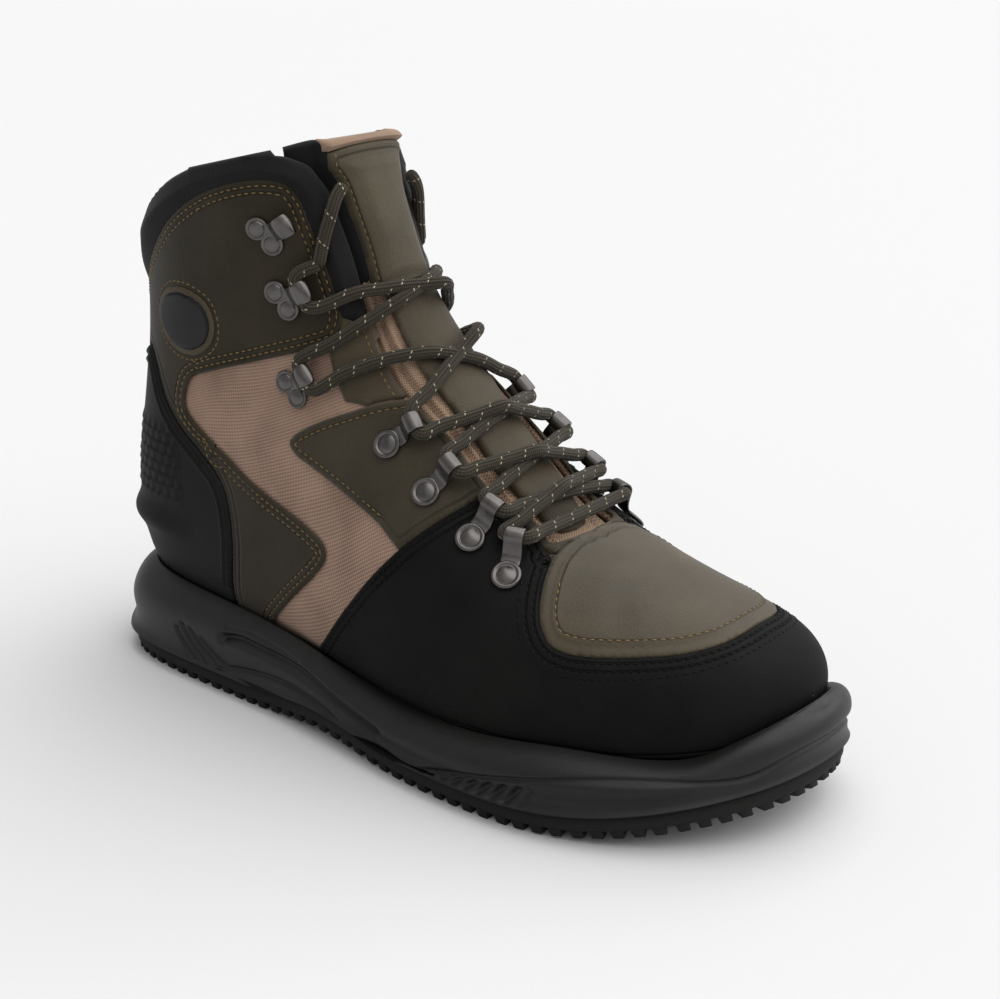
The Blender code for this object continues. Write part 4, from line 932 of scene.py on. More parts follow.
# %% The midsole
OUTLINE = (
    (0.020, 0.164, 0.164), (0.060, 0.279, 0.279), (0.120, 0.336, 0.336), (0.200, 0.361, 0.352),
    (0.300, 0.377, 0.320), (0.400, 0.402, 0.295), (0.500, 0.443, 0.320), (0.600, 0.484, 0.410),
    (0.680, 0.500, 0.475), (0.750, 0.492, 0.500), (0.820, 0.451, 0.500), (0.890, 0.361, 0.467),
    (0.950, 0.230, 0.385), (0.985, 0.098, 0.279),
)
TOE_TIP = (1.0, 0.098)
RIM = (
    (0.00, 1.27), (0.10, 1.25), (0.25, 1.20), (0.36, 1.10), (0.45, 0.96), (0.53, 0.86), (0.60, 0.84),
    (0.68, 0.88), (0.78, 0.99), (0.87, 1.00), (0.92, 1.10), (0.955, 1.34), (1.00, 1.62),
)
RIM_HEIGHT, PLATE, LUG_DEPTH = 30 * MM, 4 * MM, 5 * MM
RIM_CURVE = Smooth([row[0] for row in RIM], [row[1] for row in RIM])
ROUND = 960

spots = [(0.0, 0.0)] + [(-lateral * BALL_WIDTH, along * SOLE_LENGTH) for along, lateral, _ in OUTLINE]
spots += [(TOE_TIP[1] * BALL_WIDTH, TOE_TIP[0] * SOLE_LENGTH)]
spots += [(medial * BALL_WIDTH, along * SOLE_LENGTH) for along, _, medial in reversed(OUTLINE)]
wrap = 4
loop = np.array(spots[-wrap:] + spots + spots[:wrap + 1])
knots = np.concatenate(([0], np.cumsum(np.linalg.norm(np.diff(loop, axis=0), axis=1) ** 0.6)))
tip = wrap + len(OUTLINE) + 1
OUTLINE_CURVE = Smooth(knots, loop)
halves = [OUTLINE_CURVE(np.linspace(knots[a], knots[b], 481)) for a, b in ((wrap, tip), (tip, wrap + len(spots)))]
FINE = np.concatenate((halves[0][:-1], halves[1][:-1]))


def sole_ring(outset):
    """Places (sideways, along) round the sole, moved out of its outline."""
    tangent = np.roll(FINE, -1, axis=0) - np.roll(FINE, 1, axis=0)
    normal = np.stack((-tangent[:, 1], tangent[:, 0]), 1)
    moved = FINE + normal / np.linalg.norm(normal, axis=1)[:, None] * outset
    lateral = evenly(moved[:481], ROUND // 2)
    medial = evenly(np.concatenate((moved[480:], moved[:1])), ROUND // 2)
    return np.concatenate((lateral[:-1], medial[:-1]))


def last_ring(height, lift):
    """Places (sideways, along, up) round the last at a height over the footbed."""
    made = []
    for side in (-1, 1):
        stations = np.linspace(0, 0.75, 1501)
        low = SECTIONS(stations)[:, 0]
        rings = foot_ring(stations, height(low))
        last = np.flatnonzero(rings > 0)[-1] + 1
        shown = stations[:last], rings[:last], side
        points = surface(*shown) + outward(*shown) * lift
        points[:, 1] = SOLE_LENGTH / 2 - points[:, 1]
        start = surface(stations[last], 0.0, side) + outward(stations[last], 0.0, side) * lift
        start[1] = SOLE_LENGTH / 2 - start[1]
        made.append(evenly(np.concatenate((points, [start])), ROUND // 2))
    return np.concatenate((made[0][::-1][:-1], made[1][:-1]))


def rim(along):
    return RIM_HEIGHT * RIM_CURVE(along / SOLE_LENGTH)


def midsole_bottom(along):
    return sole_bottom(along) + LUG_DEPTH + PLATE + GAP


CUP, LIP = 2.2 * MM, 1.3 * MM
wall_ring = sole_ring(0.8 * MM)
to_rim = lambda along: rim(along) - footbed(along)
lip_ring = last_ring(to_rim, CUP + LIP)[:, :2]
# share of the wall's height, and how far it leans from the outline to the lip
LEAN = Smooth((0, 0.06, 0.5, 0.72, 0.86, 0.95, 1.0), (-0.10, 0.0, 0.05, 0.20, 0.46, 0.76, 1.0))
WALL_ROWS = 60
wall_shares = 1 - (1 - np.linspace(0, 1, WALL_ROWS + 1)) ** 1.25
inner = [(last_ring(to_rim, CUP), lambda along: rim(along) - 0.6 * MM),
         (last_ring(lambda along: np.minimum(8 * MM, to_rim(along)) * 0.6, 0.95 * CUP), None),
         (last_ring(lambda along: np.minimum(8 * MM, to_rim(along)) * 0.18, 0.6 * CUP),
          lambda along: footbed(along) + 0.8 * MM)]

# side-view lines: points (along, up) in millimetres, depth and half width
LINES = (
    (((84.9, 24.7), (92, 26.0), (105.2, 25.6), (128.2, 24.2), (151.0, 19.6), (176, 15.5)), 3.0, 1.7),
    (((86, 29.0), (97, 30.0), (112, 29.0), (128, 26.8)), 0.8, 0.9),
    (((59.5, 24.8), (71.5, 20.4), (84.7, 13.4), (87.1, 12.8), (76.8, 7.9), (64.3, 11.6), (55.6, 19.2), (59.5, 24.8)),
     0.5, 0.7),
    (((55.8, 21.1), (60.5, 14.6), (68.0, 9.7)), 1.8, 0.9), (((59.4, 23.5), (66, 15.4), (75.0, 9.6)), 1.8, 0.9),
    (((64.6, 22.8), (71.5, 16.2), (80.8, 10.9)), 1.8, 0.9), (((71.5, 20.4), (78, 16.0), (85.9, 12.9)), 1.6, 0.9),
    (((2, 9.5), (30, 8.4), (71.7, 8.2), (92.7, 13.6), (122.2, 16.5), (139.2, 14.6), (162.5, 10.5), (179.9, 10.0),
      (195.8, 9.0), (219.3, 13.8), (244.4, 19.6), (271.5, 24.5), (297.8, 26.4), (314.4, 27.6), (323.0, 33.7),
      (326, 35.1)), 1.3, 0.9),
    (((317, 44.9), (320, 44.6), (324.4, 43.2), (326, 43.4)), 0.8, 0.7),
    (((247.1, 19.9), (250, 15.5), (244.4, 9.6), (236, 8.6)), 0.8, 0.7),
)
RIBS = [((196 + 6.3 * i, 7.9 + 0.25 * i), (201.5 + 6.3 * i, 9.4 + 0.95 * i)) for i in range(8)]


def near_line(along, up, line):
    """Distance in side view from places to a line through points, all in millimetres."""
    line = smooth_line(line, 6) if len(line) > 2 else np.array(line)
    best = np.full(len(along), 1e9)
    for a, b in zip(line, line[1:]):
        step = b - a
        t = np.clip(((along - a[0]) * step[0] + (up - a[1]) * step[1]) / max(1e-9, step @ step), 0, 1)
        best = np.minimum(best, np.hypot(along - a[0] - t * step[0], up - a[1] - t * step[1]))
    return best


def midsole_shape(a, b):
    column = np.rint(a * ROUND).astype(int) % ROUND
    rows = WALL_ROWS + len(inner)
    row = np.rint(b * rows).astype(int)
    share = wall_shares[np.minimum(row, WALL_ROWS)]
    lean = LEAN(share)[:, None]
    flat_place = wall_ring[column] * (1 - lean) + lip_ring[column] * lean
    along = flat_place[:, 1]
    low = midsole_bottom(along)
    up = low + (rim(along) - low) * share
    tangent = np.roll(wall_ring, -1, axis=0) - np.roll(wall_ring, 1, axis=0)
    normal = np.stack((-tangent[:, 1], tangent[:, 0]), 1)
    normal = (normal / np.linalg.norm(normal, axis=1)[:, None])[column]
    sunk = np.zeros(len(a))
    for line, depth, width in LINES:
        far = near_line(along / MM, up / MM, line) / width
        sunk = np.maximum(sunk, depth * np.exp(-far * far * 0.9))
    for line in RIBS:
        far = near_line(along / MM, up / MM, line) / 1.15
        sunk = np.maximum(sunk, 1.4 * np.exp(-far * far))
    bulge = 0.9 * ease((along / SOLE_LENGTH - 0.93) / 0.05) * np.exp(-((up / MM - 38) / 7) ** 2)
    flat_place = flat_place + normal * (bulge - sunk * (share > 0.03) * (share < 0.97))[:, None] * MM
    points = np.stack((flat_place[:, 0], SOLE_LENGTH / 2 - flat_place[:, 1], up), 1)
    for i, (ring, height) in enumerate(inner):
        chosen = row == WALL_ROWS + 1 + i
        place = ring[column[chosen]]
        points[chosen, 0], points[chosen, 1] = place[:, 0], SOLE_LENGTH / 2 - place[:, 1]
        points[chosen, 2] = height(place[:, 1]) if height else place[:, 2]
    return points


foam, tree, shader = new_material("moulded EVA foam", Roughness=0.45, IOR=1.46, Specular_IOR_Level=0.35)
places = node(tree, "TexCoord").outputs["Object"]
grain = noise(tree, places, 1 / (0.8 * MM), 4.0, Roughness=0.65)
cloud = span(tree, noise(tree, places, 30.0, 3.0), 0.35, 0.65)
finish(tree, shader, blend(tree, cloud, colour("#0f0f0f"), colour("#161615")), bumped(tree, grain, 0.5, 0.2 * MM),
       span(tree, grain, to_low=0.38, to_high=0.54))

bm = bent_grid(ROUND, WALL_ROWS + len(inner), midsole_shape, closed=True, fill=True)
add_piece("midsole_cup", bm, foam, "foam", "midsole")

# %% [markdown]
# ## The outsole
# The outsole is a plate of blown rubber with lugs. Round its edge stand slanted teeth, close together,
# and under the foot lie broad bars. Each lug is a cube that is sized, sheared and bevelled, then set on
# the sole's line. The real rubber is a little duller than the foam above it.

# %% The outsole
outsole_rubber = leather("blown rubber", "#0d0d0d", "#151514", "#222221", 0.72, grain=0.7 * MM, depth=0.0002,
                         sheen=0.0, gloss=0.15)
plate_rings = [(sole_ring(outset * MM), rise * MM) for outset, rise in
               ((-6.0, LUG_DEPTH / MM), (-2.8, 2.7), (-1.3, 2.8), (-0.5, 3.6), (-0.4, 8.2), (-2.0, 9.0),
                (-6.0, 9.0))]


def plate_shape(a, b):
    column = np.rint(a * ROUND).astype(int) % ROUND
    row = np.rint(b * (len(plate_rings) - 1)).astype(int)
    place = np.array([ring for ring, _ in plate_rings])[row, column]
    rise = np.array([rise for _, rise in plate_rings])[row]
    return np.stack((place[:, 0], SOLE_LENGTH / 2 - place[:, 1], sole_bottom(place[:, 1]) + rise), 1)


def add_lug(bm, centre, inward, length, reach, slant):
    """A block from the ground into the plate: length along the edge, reach inwards."""
    along = Vector((-inward[1], inward[0], 0))
    height = LUG_DEPTH + 1.2 * MM
    made = bmesh.ops.create_cube(bm, size=1)["verts"]
    for vert in made:
        low = vert.co.z < 0
        x, y, z = vert.co.x * length * (0.72 if low else 1.0), vert.co.y * reach, (vert.co.z + 0.5) * height
        spot = Vector((*centre, 0)) + along * (x + slant * (0.5 - vert.co.z)) + Vector((*inward, 0)) * y
        vert.co = spot
        vert.co.z = float(sole_bottom(SOLE_LENGTH / 2 - spot.y)) + z
    return made


bm = bent_grid(ROUND, len(plate_rings) - 1, plate_shape, closed=True, fill=True)
edge_line = sole_ring(-1.0 * MM)
edge_line = np.stack((edge_line[:, 0], SOLE_LENGTH / 2 - edge_line[:, 1]), 1)
TEETH, TOOTH_LENGTH, TOOTH_REACH, TOOTH_SLANT = 104, 5.6 * MM, 8.0 * MM, 2.5 * MM
blocks = []
for i in range(TEETH):
    k = int(i * ROUND / TEETH)
    tangent = edge_line[(k + 3) % ROUND] - edge_line[k - 3]
    tangent /= np.linalg.norm(tangent)
    inward = np.array((-tangent[1], tangent[0]))
    if inward @ (edge_line.mean(0) - edge_line[k]) < 0:
        inward = -inward
    slant = TOOTH_SLANT * (1 if (np.array((-inward[1], inward[0])) @ tangent) > 0 else -1)
    blocks += add_lug(bm, edge_line[k] + inward * 4.2 * MM, inward, TOOTH_LENGTH, TOOTH_REACH, slant)
for share, centre, length in ((0.10, 0.0, 0.30), (0.17, 0.0, 0.36), (0.24, 0.0, 0.30), (0.56, 0.02, 0.34),
                              (0.63, 0.03, 0.44), (0.70, 0.04, 0.50), (0.77, 0.05, 0.44), (0.84, 0.07, 0.34)):
    for half in (-1, 1):
        spot = np.array((centre * BALL_WIDTH + half * length * BALL_WIDTH / 4, SOLE_LENGTH * (0.5 - share)))
        inward = np.array((0.22 * half, 1.0)) / math.hypot(0.22, 1)
        blocks += add_lug(bm, spot, inward, length * BALL_WIDTH * 0.46, 10 * MM, 0)
edges = list({edge for vert in blocks for edge in vert.link_edges})
bmesh.ops.bevel(bm, geom=edges, offset=0.35 * MM, offset_type="OFFSET", segments=1, profile=0.5,
                affect="EDGES", material=-1)
bmesh.ops.recalc_face_normals(bm, faces=bm.faces)
add_piece("outsole_tread", bm, outsole_rubber, "rubber", "outsole")

# %% [markdown]
# ## The padded collar
# The collar is knitted neoprene over soft foam. It tucks under the ankle panel, swells between its
# seams and rolls over at the top, so its skin is thick and its rim is rolled with a wide radius.

# %% The padded collar
neoprene, tree, shader = new_material("knitted neoprene", Roughness=0.82, Sheen_Weight=0.04,
                                      Specular_IOR_Level=0.2)
KNIT = 0.6 * MM
loops = maths(tree, "MULTIPLY", *crossed_waves(tree, KNIT, ("X", "DIAGONAL"), 0.6))
# painted shade: the knit is a little darker where its loops sink
finish(tree, shader, blend(tree, loops, colour("#0d0d0d"), colour("#131313")), bumped(tree, loops, 0.3, 0.2 * MM))

under_line = curve_through(COLLAR_LINE) - (0.008, 0.020)
TOP_LINE = curve_through(((0.966, 0.0), (0.974, 0.15), (0.983, 0.30), (0.992, 0.40), (0.9985, 0.485)))
COLLAR = outline((0.892, -0.05), under_line, (0.598, 1.05), (1.05, 1.05), (1.05, 0.50), TOP_LINE[::-1],
                 (0.966, -0.05))


def collar_swell(station, ring, side, base, edge):
    return 2.6 * MM * ease((edge - 1.5 * MM) / (8 * MM))


bm = skin(COLLAR, -3.5 * MM, 5.0 * MM, relief=collar_swell, roll=4.2 * MM, step=1.5 * MM)
add_piece("collar_padding", bm, neoprene, "neoprene", "collar")
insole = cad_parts["insole"]
insole.data.materials.clear()
insole.data.materials.append(neoprene)

# %% [markdown]
# ## The tongue
# The tongue is built in layers: a base of woven nylon with sewn ribs, a black neoprene gusset behind the
# hooks, a raised olive strip down the middle, and a smooth olive pad at the shin with a turned-over top
# of nylon. All of them follow the tongue's own lift, which sinks under the edges of the throat.

# %% The tongue
TONGUE_WALL = 4.5 * MM
taupe_ribbed = woven("woven nylon, ribbed", "#6a5242", "#a98f78", yarn=0.75 * MM)


def tongue_start(station):
    return throat(np.clip(station, 0.31, 0.87)) - 0.10


def tongue_lift(station, ring):
    """Under the upper at its margins, rising to the last's own surface in the open throat."""
    under = WALL + 4 * GAP + (1.0 * MM + 2 * GAP) * ease((station - 0.55) / 0.04)
    share = ease((ring - throat(np.clip(station, 0.31, 0.9)) - 0.018) / 0.05) * ease((station - 0.305) / 0.03)
    return -under + (under - 0.5 * MM) * share


def throat_share(station, ring):
    """0 on the tongue's middle, 1 at the throat's edge."""
    return (1 - ring) / np.maximum(1 - throat(np.clip(station, 0.31, 0.87)), 0.02)


def ribs(station, ring, side, base, edge):
    t = throat_share(station, ring)
    grooves = sum(np.exp(-((t - place) / 0.045) ** 2) for place in (0.66, 0.83, 1.0))
    swell = sum(np.clip(1 - ((t - place) / 0.085) ** 2, 0, 1) for place in (0.745, 0.915))
    return 1.6 * MM * swell - 0.8 * MM * grooves * (t < 1.1)


def folds(station, ring, side, base, edge):
    t = throat_share(station, ring)
    fold = 1.6 * MM * np.exp(-((t - 0.84) / 0.10) ** 2) - 1.0 * MM * np.exp(-((t - 0.66) / 0.05) ** 2)
    return fold


ones = lambda station: np.ones(np.shape(station))
sunk_lift = lambda station, ring: tongue_lift(station, ring) - TONGUE_WALL
bm = skin(outline((0.25, 0.4), (0.25, 1.05), (0.648, 1.05), (0.648, 0.4)), sunk_lift, TONGUE_WALL,
          high=ones, start=tongue_start, relief=ribs, step=1.3 * MM, roll=0.8 * MM)
add_piece("tongue_base", bm, taupe_ribbed, "nylon", "tongue")
bm = skin(outline((0.640, 0.4), (0.640, 1.05), (0.992, 1.05), (0.992, 0.4)), sunk_lift, TONGUE_WALL + 0.2 * MM,
          high=ones, start=tongue_start, relief=folds, step=1.4 * MM, roll=1.6 * MM)
add_piece("tongue_gusset", bm, neoprene, "neoprene", "tongue")

strip_edge = [(s, 1 - 0.62 * (1 - float(throat(s)))) for s in np.linspace(0.318, 0.640, 32)]
strip_end = curve_through([(0.299, 1.0), (0.303, 0.960), strip_edge[0]])
STRIP = outline(strip_end, strip_edge, (0.640, 1.05), (0.299, 1.05))
bm = skin(STRIP, lambda s, r: tongue_lift(s, r) - 0.6 * MM, 2.4 * MM, high=ones, start=tongue_start,
          step=1.2 * MM, roll=1.6 * MM)
add_piece("tongue_strip", bm, olive_plain, "leather")

pad_edge = [(s, float(throat(min(0.87, s))) + 0.030 + 0.02 * (s - 0.62)) for s in np.linspace(0.622, 0.930, 40)]
pad_bottom = curve_through([(0.594, 1.0), (0.596, 0.96), (0.604, 0.92), pad_edge[0]])
PAD = outline(pad_bottom, pad_edge, (0.934, 0.93), (0.934, 1.05), (0.594, 1.05))


def pad_swell(station, ring, side, base, edge):
    return 1.2 * MM * ease((edge - 3.4 * MM) / (6 * MM))


bm = skin(PAD, lambda s, r: tongue_lift(s, r) - 0.2 * MM, 2.2 * MM, high=ones, start=tongue_start,
          relief=pad_swell, step=1.2 * MM, roll=1.5 * MM)
# painted light: the tongue pad's olive is a lighter copy of the same leather, as painted light from above
olive_pad_painted_light = leather("microfibre leather, smooth pad, painted light", "#3d3628", "#4a4232", "#5d5442", 0.6, grooves=(3.0 * MM,))
add_piece("tongue_pad_skin", bm, olive_pad_painted_light, "leather", "tongue_pad")
TOP_ROLL = outline((0.932, 0.4), (0.932, 1.05), (1.01, 1.05), (1.01, 0.4))
bm = skin(TOP_ROLL, lambda s, r: tongue_lift(s, r) - 5.4 * MM, 9.0 * MM, high=ones,
          start=lambda s: throat(np.clip(s, 0.31, 0.87)) + 0.02, step=1.0 * MM, roll=4.4 * MM)
add_piece("tongue_top_roll", bm, taupe_ribbed, "nylon")
bm = bmesh.new()
pad_top = lambda s, r: tongue_lift(s, r) + 1.9 * MM
sew(bm, np.concatenate((pad_bottom, pad_edge)), PAD, 3.0 * MM, pad_top, high=ones)
add_piece("pad_stitches", bm, gold_thread, "lace")

# %% [markdown]
# ## The badge
# A moulded badge sits on the ankle, on a low olive ring with its own row of thread. It is a smooth black
# oval with a rounded edge.

# %% The badge
BADGE = (0.837, 0.465)
centre = surface(*BADGE, -1)
near_s, near_r = np.meshgrid(np.linspace(0.72, 0.95, 231), np.linspace(0.30, 0.64, 341), indexing="ij")
near_points = surface(near_s, near_r, -1)[..., 1:].reshape(-1, 2)


def oval(grow):
    """The badge's outline on the last, grown by a distance, from an oval drawn in side view."""
    made = []
    for turn in np.linspace(0, math.tau, 72, endpoint=False):
        spot = centre[1:] + ((14 * MM + grow) * math.cos(turn), (11.3 * MM + grow) * math.sin(turn))
        best = np.linalg.norm(near_points - spot, axis=1).argmin()
        made.append((near_s.flat[best], near_r.flat[best]))
    return np.array(made)


top = GAP + OVERLAY
bm = skin(oval(2.2 * MM), top - 0.4 * MM, 1.3 * MM, sides=(-1,), step=0.8 * MM, roll=1.4 * MM)
add_piece("badge_ring", bm, olive_plain, "leather")
badge_rubber, tree, shader = new_material("moulded PVC", Roughness=0.5, Specular_IOR_Level=0.25)
fine = noise(tree, node(tree, "TexCoord").outputs["Object"], 1 / (0.5 * MM), 3.0)
finish(tree, shader, blend(tree, fine, colour("#060606"), colour("#0c0c0c")), bumped(tree, fine, 0.35, 0.08 * MM))
bm = skin(oval(0), top + 0.3 * MM, 1.2 * MM, sides=(-1,), step=0.8 * MM, roll=1.0 * MM)
add_piece("badge_oval", bm, badge_rubber, "rubber", "badge")
bm = bmesh.new()
ring_line = oval(3.9 * MM)
sew(bm, np.concatenate((ring_line, ring_line[:1])), oval(6 * MM), 0.2 * MM, top, sides=(-1,), pitch=2.7 * MM,
    length=2.0 * MM)
add_piece("badge_stitches", bm, gold_thread, "lace")

# %% [markdown]
# ## Brushed metal
# The eyelets and hooks are stamped steel with a dark nickel plating. They are brushed, so the gloss is
# streaked.

# %% Brushed metal
metal, tree, shader = new_material("brushed steel, dark nickel plated", Metallic=1.0, Roughness=0.34)
places = node(tree, "TexCoord").outputs["Object"]
stretched = node(tree, "Mapping", {"Vector": places, "Scale": (900.0, 900.0, 6000.0)}).outputs[0]
streaks = noise(tree, stretched, 1.0, 3.0)
smudge = noise(tree, places, 260.0)
finish(tree, shader, blend(tree, smudge, colour("#4b4846"), colour("#6a6765")), bumped(tree, streaks, 0.2, 0.04 * MM),
       span(tree, maths(tree, "ADD", streaks, smudge), 0.7, 1.3, 0.22, 0.40))

# %% [markdown]
# ## Eyelets and hooks
# Each fitting has a seat on the panel: its own frame with X towards the throat and Z off the leather.
# The plate is a turned profile with a raised rim and a flat rivet, spun round its axis. The strap is a
# strip that rises and curls over into a tunnel for the lace; a hook's strip ends in a hood instead.

# %% Eyelets and hooks
SEAT_GAP, LOOP_RADIUS, LOOP_REACH, EYELET_WIDTH = 0.5 * MM, 3.5 * MM, 13.5 * MM, 6.0 * MM
HOOK_WIDTH, HOOK_REACH, LACE_RADIUS, STRAP = 8.5 * MM, 12.0 * MM, 2.5 * MM, 1.0 * MM
EYELETS = (
    (0.307, 0.757, 0.318, 0.840, 1, 0.4, 1.3), (0.355, 0.763, 0.352, 0.835, 1, 1.0, 1.0),
    (0.420, 0.750, 0.408, 0.825, 1, 2.7, 2.7), (0.485, 0.743, 0.466, 0.810, 1, 2.7, 2.7),
)
HOOKS = (
    (0.638, 0.657, 0.615, 0.715, 0, 1.8, 1.8), (0.717, 0.697, 0.700, 0.750, 1, 2.7, 2.7),
    (0.828, 0.680, 0.812, 0.735, 1, 2.7, 2.7),
)


def seat_frame(row, side):
    lift = SEAT_GAP + (GAP + OVERLAY) * row[4]
    on = lambda s, r: surface(s, r, side) + outward(s, r, side) * lift
    origin = Vector(on(row[0], row[1]))
    up = Vector(outward(row[0], row[1], side))
    ahead = Vector(on(row[2], row[3])) - origin
    ahead = (ahead - up * ahead.dot(up)).normalized()
    matrix = Matrix((ahead, up.cross(ahead), up)).transposed().to_4x4()
    matrix.translation = origin
    inverse = matrix.inverted()
    near = [inverse @ Vector(on(row[0] + 0.01 * i, row[1] + 0.02 * j)) for i in range(-3, 4) for j in range(-4, 5)]
    highest = max([point.z for point in near if point.xy.length < HOOK_REACH] + [0.0])
    matrix.translation = origin + up * highest
    return matrix


def turned(bm, profile, x, y, steps=28):
    """A profile of (radius, height) points, spun round an upright axis at x, y."""
    verts = [bm.verts.new((x + radius, y, height)) for radius, height in profile]
    edges = [bm.edges.new(pair) for pair in zip(verts, verts[1:])]
    bmesh.ops.spin(bm, geom=verts + edges, cent=(x, y, 0), axis=(0, 0, 1), angle=math.tau, steps=steps,
                   use_merge=True)


def strip(bm, points, widths, dip=0.0, count=26):
    """A bent metal strip: its path in XZ, its width changing along it, its edges dipped."""
    path, _ = path_through([(x * MM, 0, z * MM) for x, z in points], count + 1)
    wide = np.interp(np.linspace(0, 1, count + 1), np.linspace(0, 1, len(widths)), widths) * MM
    bend = np.gradient(path, axis=0)
    bend /= np.linalg.norm(bend, axis=1, keepdims=True)

    def shape(a, b):
        i = np.rint(a * count).astype(int)
        y = (b - 0.5) * wide[i]
        fall = dip * MM * (2 * b - 1) ** 2
        return np.stack((path[i, 0] + bend[i, 2] * fall, y, path[i, 2] - bend[i, 0] * fall), 1)

    part = bent_grid(count, 8, shape)
    bmesh.ops.solidify(part, geom=part.faces[:], thickness=0.9 * MM)
    sharp = [edge for edge in part.edges if len(edge.link_faces) == 2 and edge.calc_face_angle() > 1.0]
    bmesh.ops.bevel(part, geom=sharp, offset=0.22 * MM, offset_type="OFFSET", segments=2, profile=0.5,
                    affect="EDGES", material=-1)
    mesh = bpy.data.meshes.new("strip")
    part.to_mesh(mesh)
    part.free()
    bm.from_mesh(mesh)
    bpy.data.meshes.remove(mesh)


PLATE_PROFILE = [(r * MM, z * MM) for r, z in (
    (0.0, 0.85), (3.3, 0.85), (3.5, 0.6), (3.7, 0.6), (4.0, 1.0), (4.6, 1.25), (5.2, 1.05), (5.5, 0.6),
    (5.4, 0.05), (0.0, 0.0))]
LOBE_PROFILE = [(r * MM, z * MM) for r, z in (
    (0.0, 1.35), (2.6, 1.3), (2.95, 1.1), (3.05, 0.8), (3.25, 0.75), (3.5, 1.0), (4.1, 1.0), (4.35, 0.8),
    (4.4, 0.4), (4.3, 0.05), (0.0, 0.0))]
centre_up = (LOOP_RADIUS + STRAP / 2 + GAP) / MM
curl = [(LOOP_REACH / MM + 3.5 * math.cos(math.radians(160 - turn)),
         centre_up + 3.5 * math.sin(math.radians(160 - turn))) for turn in range(0, 250, 22)]
EYELET_PATH = [(0.5, 0.62), (4.0, 0.75), (6.6, 1.1), (8.4, 2.6)] + curl
HOOK_PATH = [(share * 12.0, rise) for share, rise in
             ((-0.30, 0.7), (0.02, 1.0), (0.20, 2.3), (0.36, 4.6), (0.55, 6.3), (0.74, 6.7), (0.90, 6.0),
              (0.99, 4.8), (1.01, 3.4))]
for side, word in ((-1, "lateral"), (1, "medial")):
    for i, row in enumerate(EYELETS + HOOKS):
        bm = bmesh.new()
        if i < len(EYELETS):
            turned(bm, PLATE_PROFILE, 0, 0)
            strip(bm, EYELET_PATH, (5.6, 7.2, 7.2, 7.0, 7.0, 6.8, 6.6), 0.12, count=40)
            name = f"eyelet_{word}_{i + 1}"
        else:
            turned(bm, LOBE_PROFILE, -3.0 * MM, 0.45 * HOOK_WIDTH)
            turned(bm, LOBE_PROFILE, -1.0 * MM, -0.45 * HOOK_WIDTH)
            strip(bm, HOOK_PATH, (10.0, 9.0, 7.2, 7.2, 8.0, 8.5, 8.5, 7.6), 0.55)
            name = f"hook_{word}_{i + 1 - len(EYELETS)}"
        bmesh.ops.recalc_face_normals(bm, faces=bm.faces)
        bmesh.ops.transform(bm, matrix=seat_frame(row, side), verts=bm.verts)
        add_piece(name + "_metal", bm, metal, "metal", name)

# %% [markdown]
# ## The laces
# One round braided cord runs through both rows. It is a sleeve of sixteen plaits over a soft core, five
# millimetres thick, with pale tracer yarns that cross it in short slanted groups. The braid and the
# tracers are drawn on the cord's own flat map, whose first direction is its true length. The braid's
# colour darkens where it sinks, as painted shade in its hollows.

# %% The laces
ROUND_LACE = math.tau * LACE_RADIUS
lace_cord, tree, shader = new_material("braided polyester cord", Roughness=0.8, Sheen_Weight=0.08,
                                       Specular_IOR_Level=0.2)
parts = node(tree, "SeparateXYZ", {"Vector": node(tree, "UVMap").outputs["UV"]})
length_way, round_way = parts.outputs["X"], parts.outputs["Y"]
PLAIT, GROUP, RIBS_ROUND, DASHES_ROUND = 1.5 * MM, 10.5 * MM, 12, 8
ribs_round = maths(tree, "COSINE", maths(tree, "MULTIPLY", round_way, math.tau * RIBS_ROUND / ROUND_LACE))
plait = maths(tree, "MULTIPLY", length_way, math.tau / PLAIT)
lean = maths(tree, "MULTIPLY", round_way, math.tau * 4 / ROUND_LACE)
crossing = [maths(tree, "COSINE", maths(tree, way, plait, lean)) for way in ("ADD", "SUBTRACT")]
height = maths(tree, "ADD", maths(tree, "MULTIPLY", *crossing), ribs_round)
# painted shade: the cord is darker where the braid's height is low and lighter on the plaits' tops
base = blend(tree, span(tree, height, -1.6, 1.6), colour("#211d15"), colour("#3c362a"))
shifted = maths(tree, "ADD", length_way, maths(tree, "MULTIPLY", round_way, 0.45))
group = maths(tree, "FRACT", maths(tree, "MULTIPLY", shifted, 1 / GROUP))
dashes = maths(tree, "FRACT", maths(tree, "MULTIPLY", round_way, DASHES_ROUND / ROUND_LACE))
fleck = maths(tree, "MULTIPLY", maths(tree, "LESS_THAN", group, 0.05), maths(tree, "LESS_THAN", dashes, 0.45))
finish(tree, shader, blend(tree, fleck, base, colour("#a89f87")), bumped(tree, height, 0.7, 0.3 * MM))

FASTENINGS = EYELETS + HOOKS
RIDGE = surface(np.linspace(0.2, 0.95, 301), 1.0, -1)
RIDGE_UP = outward(np.linspace(0.2, 0.95, 301), 1.0, -1)
cover = bmesh.new()
for name in ("tongue_base", "tongue_strip", "tongue_gusset", "tongue_pad_skin", "collar_padding", "vamp_skin",
             "quarter_skin_lateral", "quarter_skin_medial", "ankle_panel_skin", "rand_skin", "underlay_skin"):
    cover.from_mesh(bpy.data.objects[name].data)
worn = bvhtree.BVHTree.FromBMesh(cover)
cover.free()
OVER = {0: -1, 1: -1, 2: 1, 3: 1, 4: 1}  # which half of the lace lies on top at each crossing


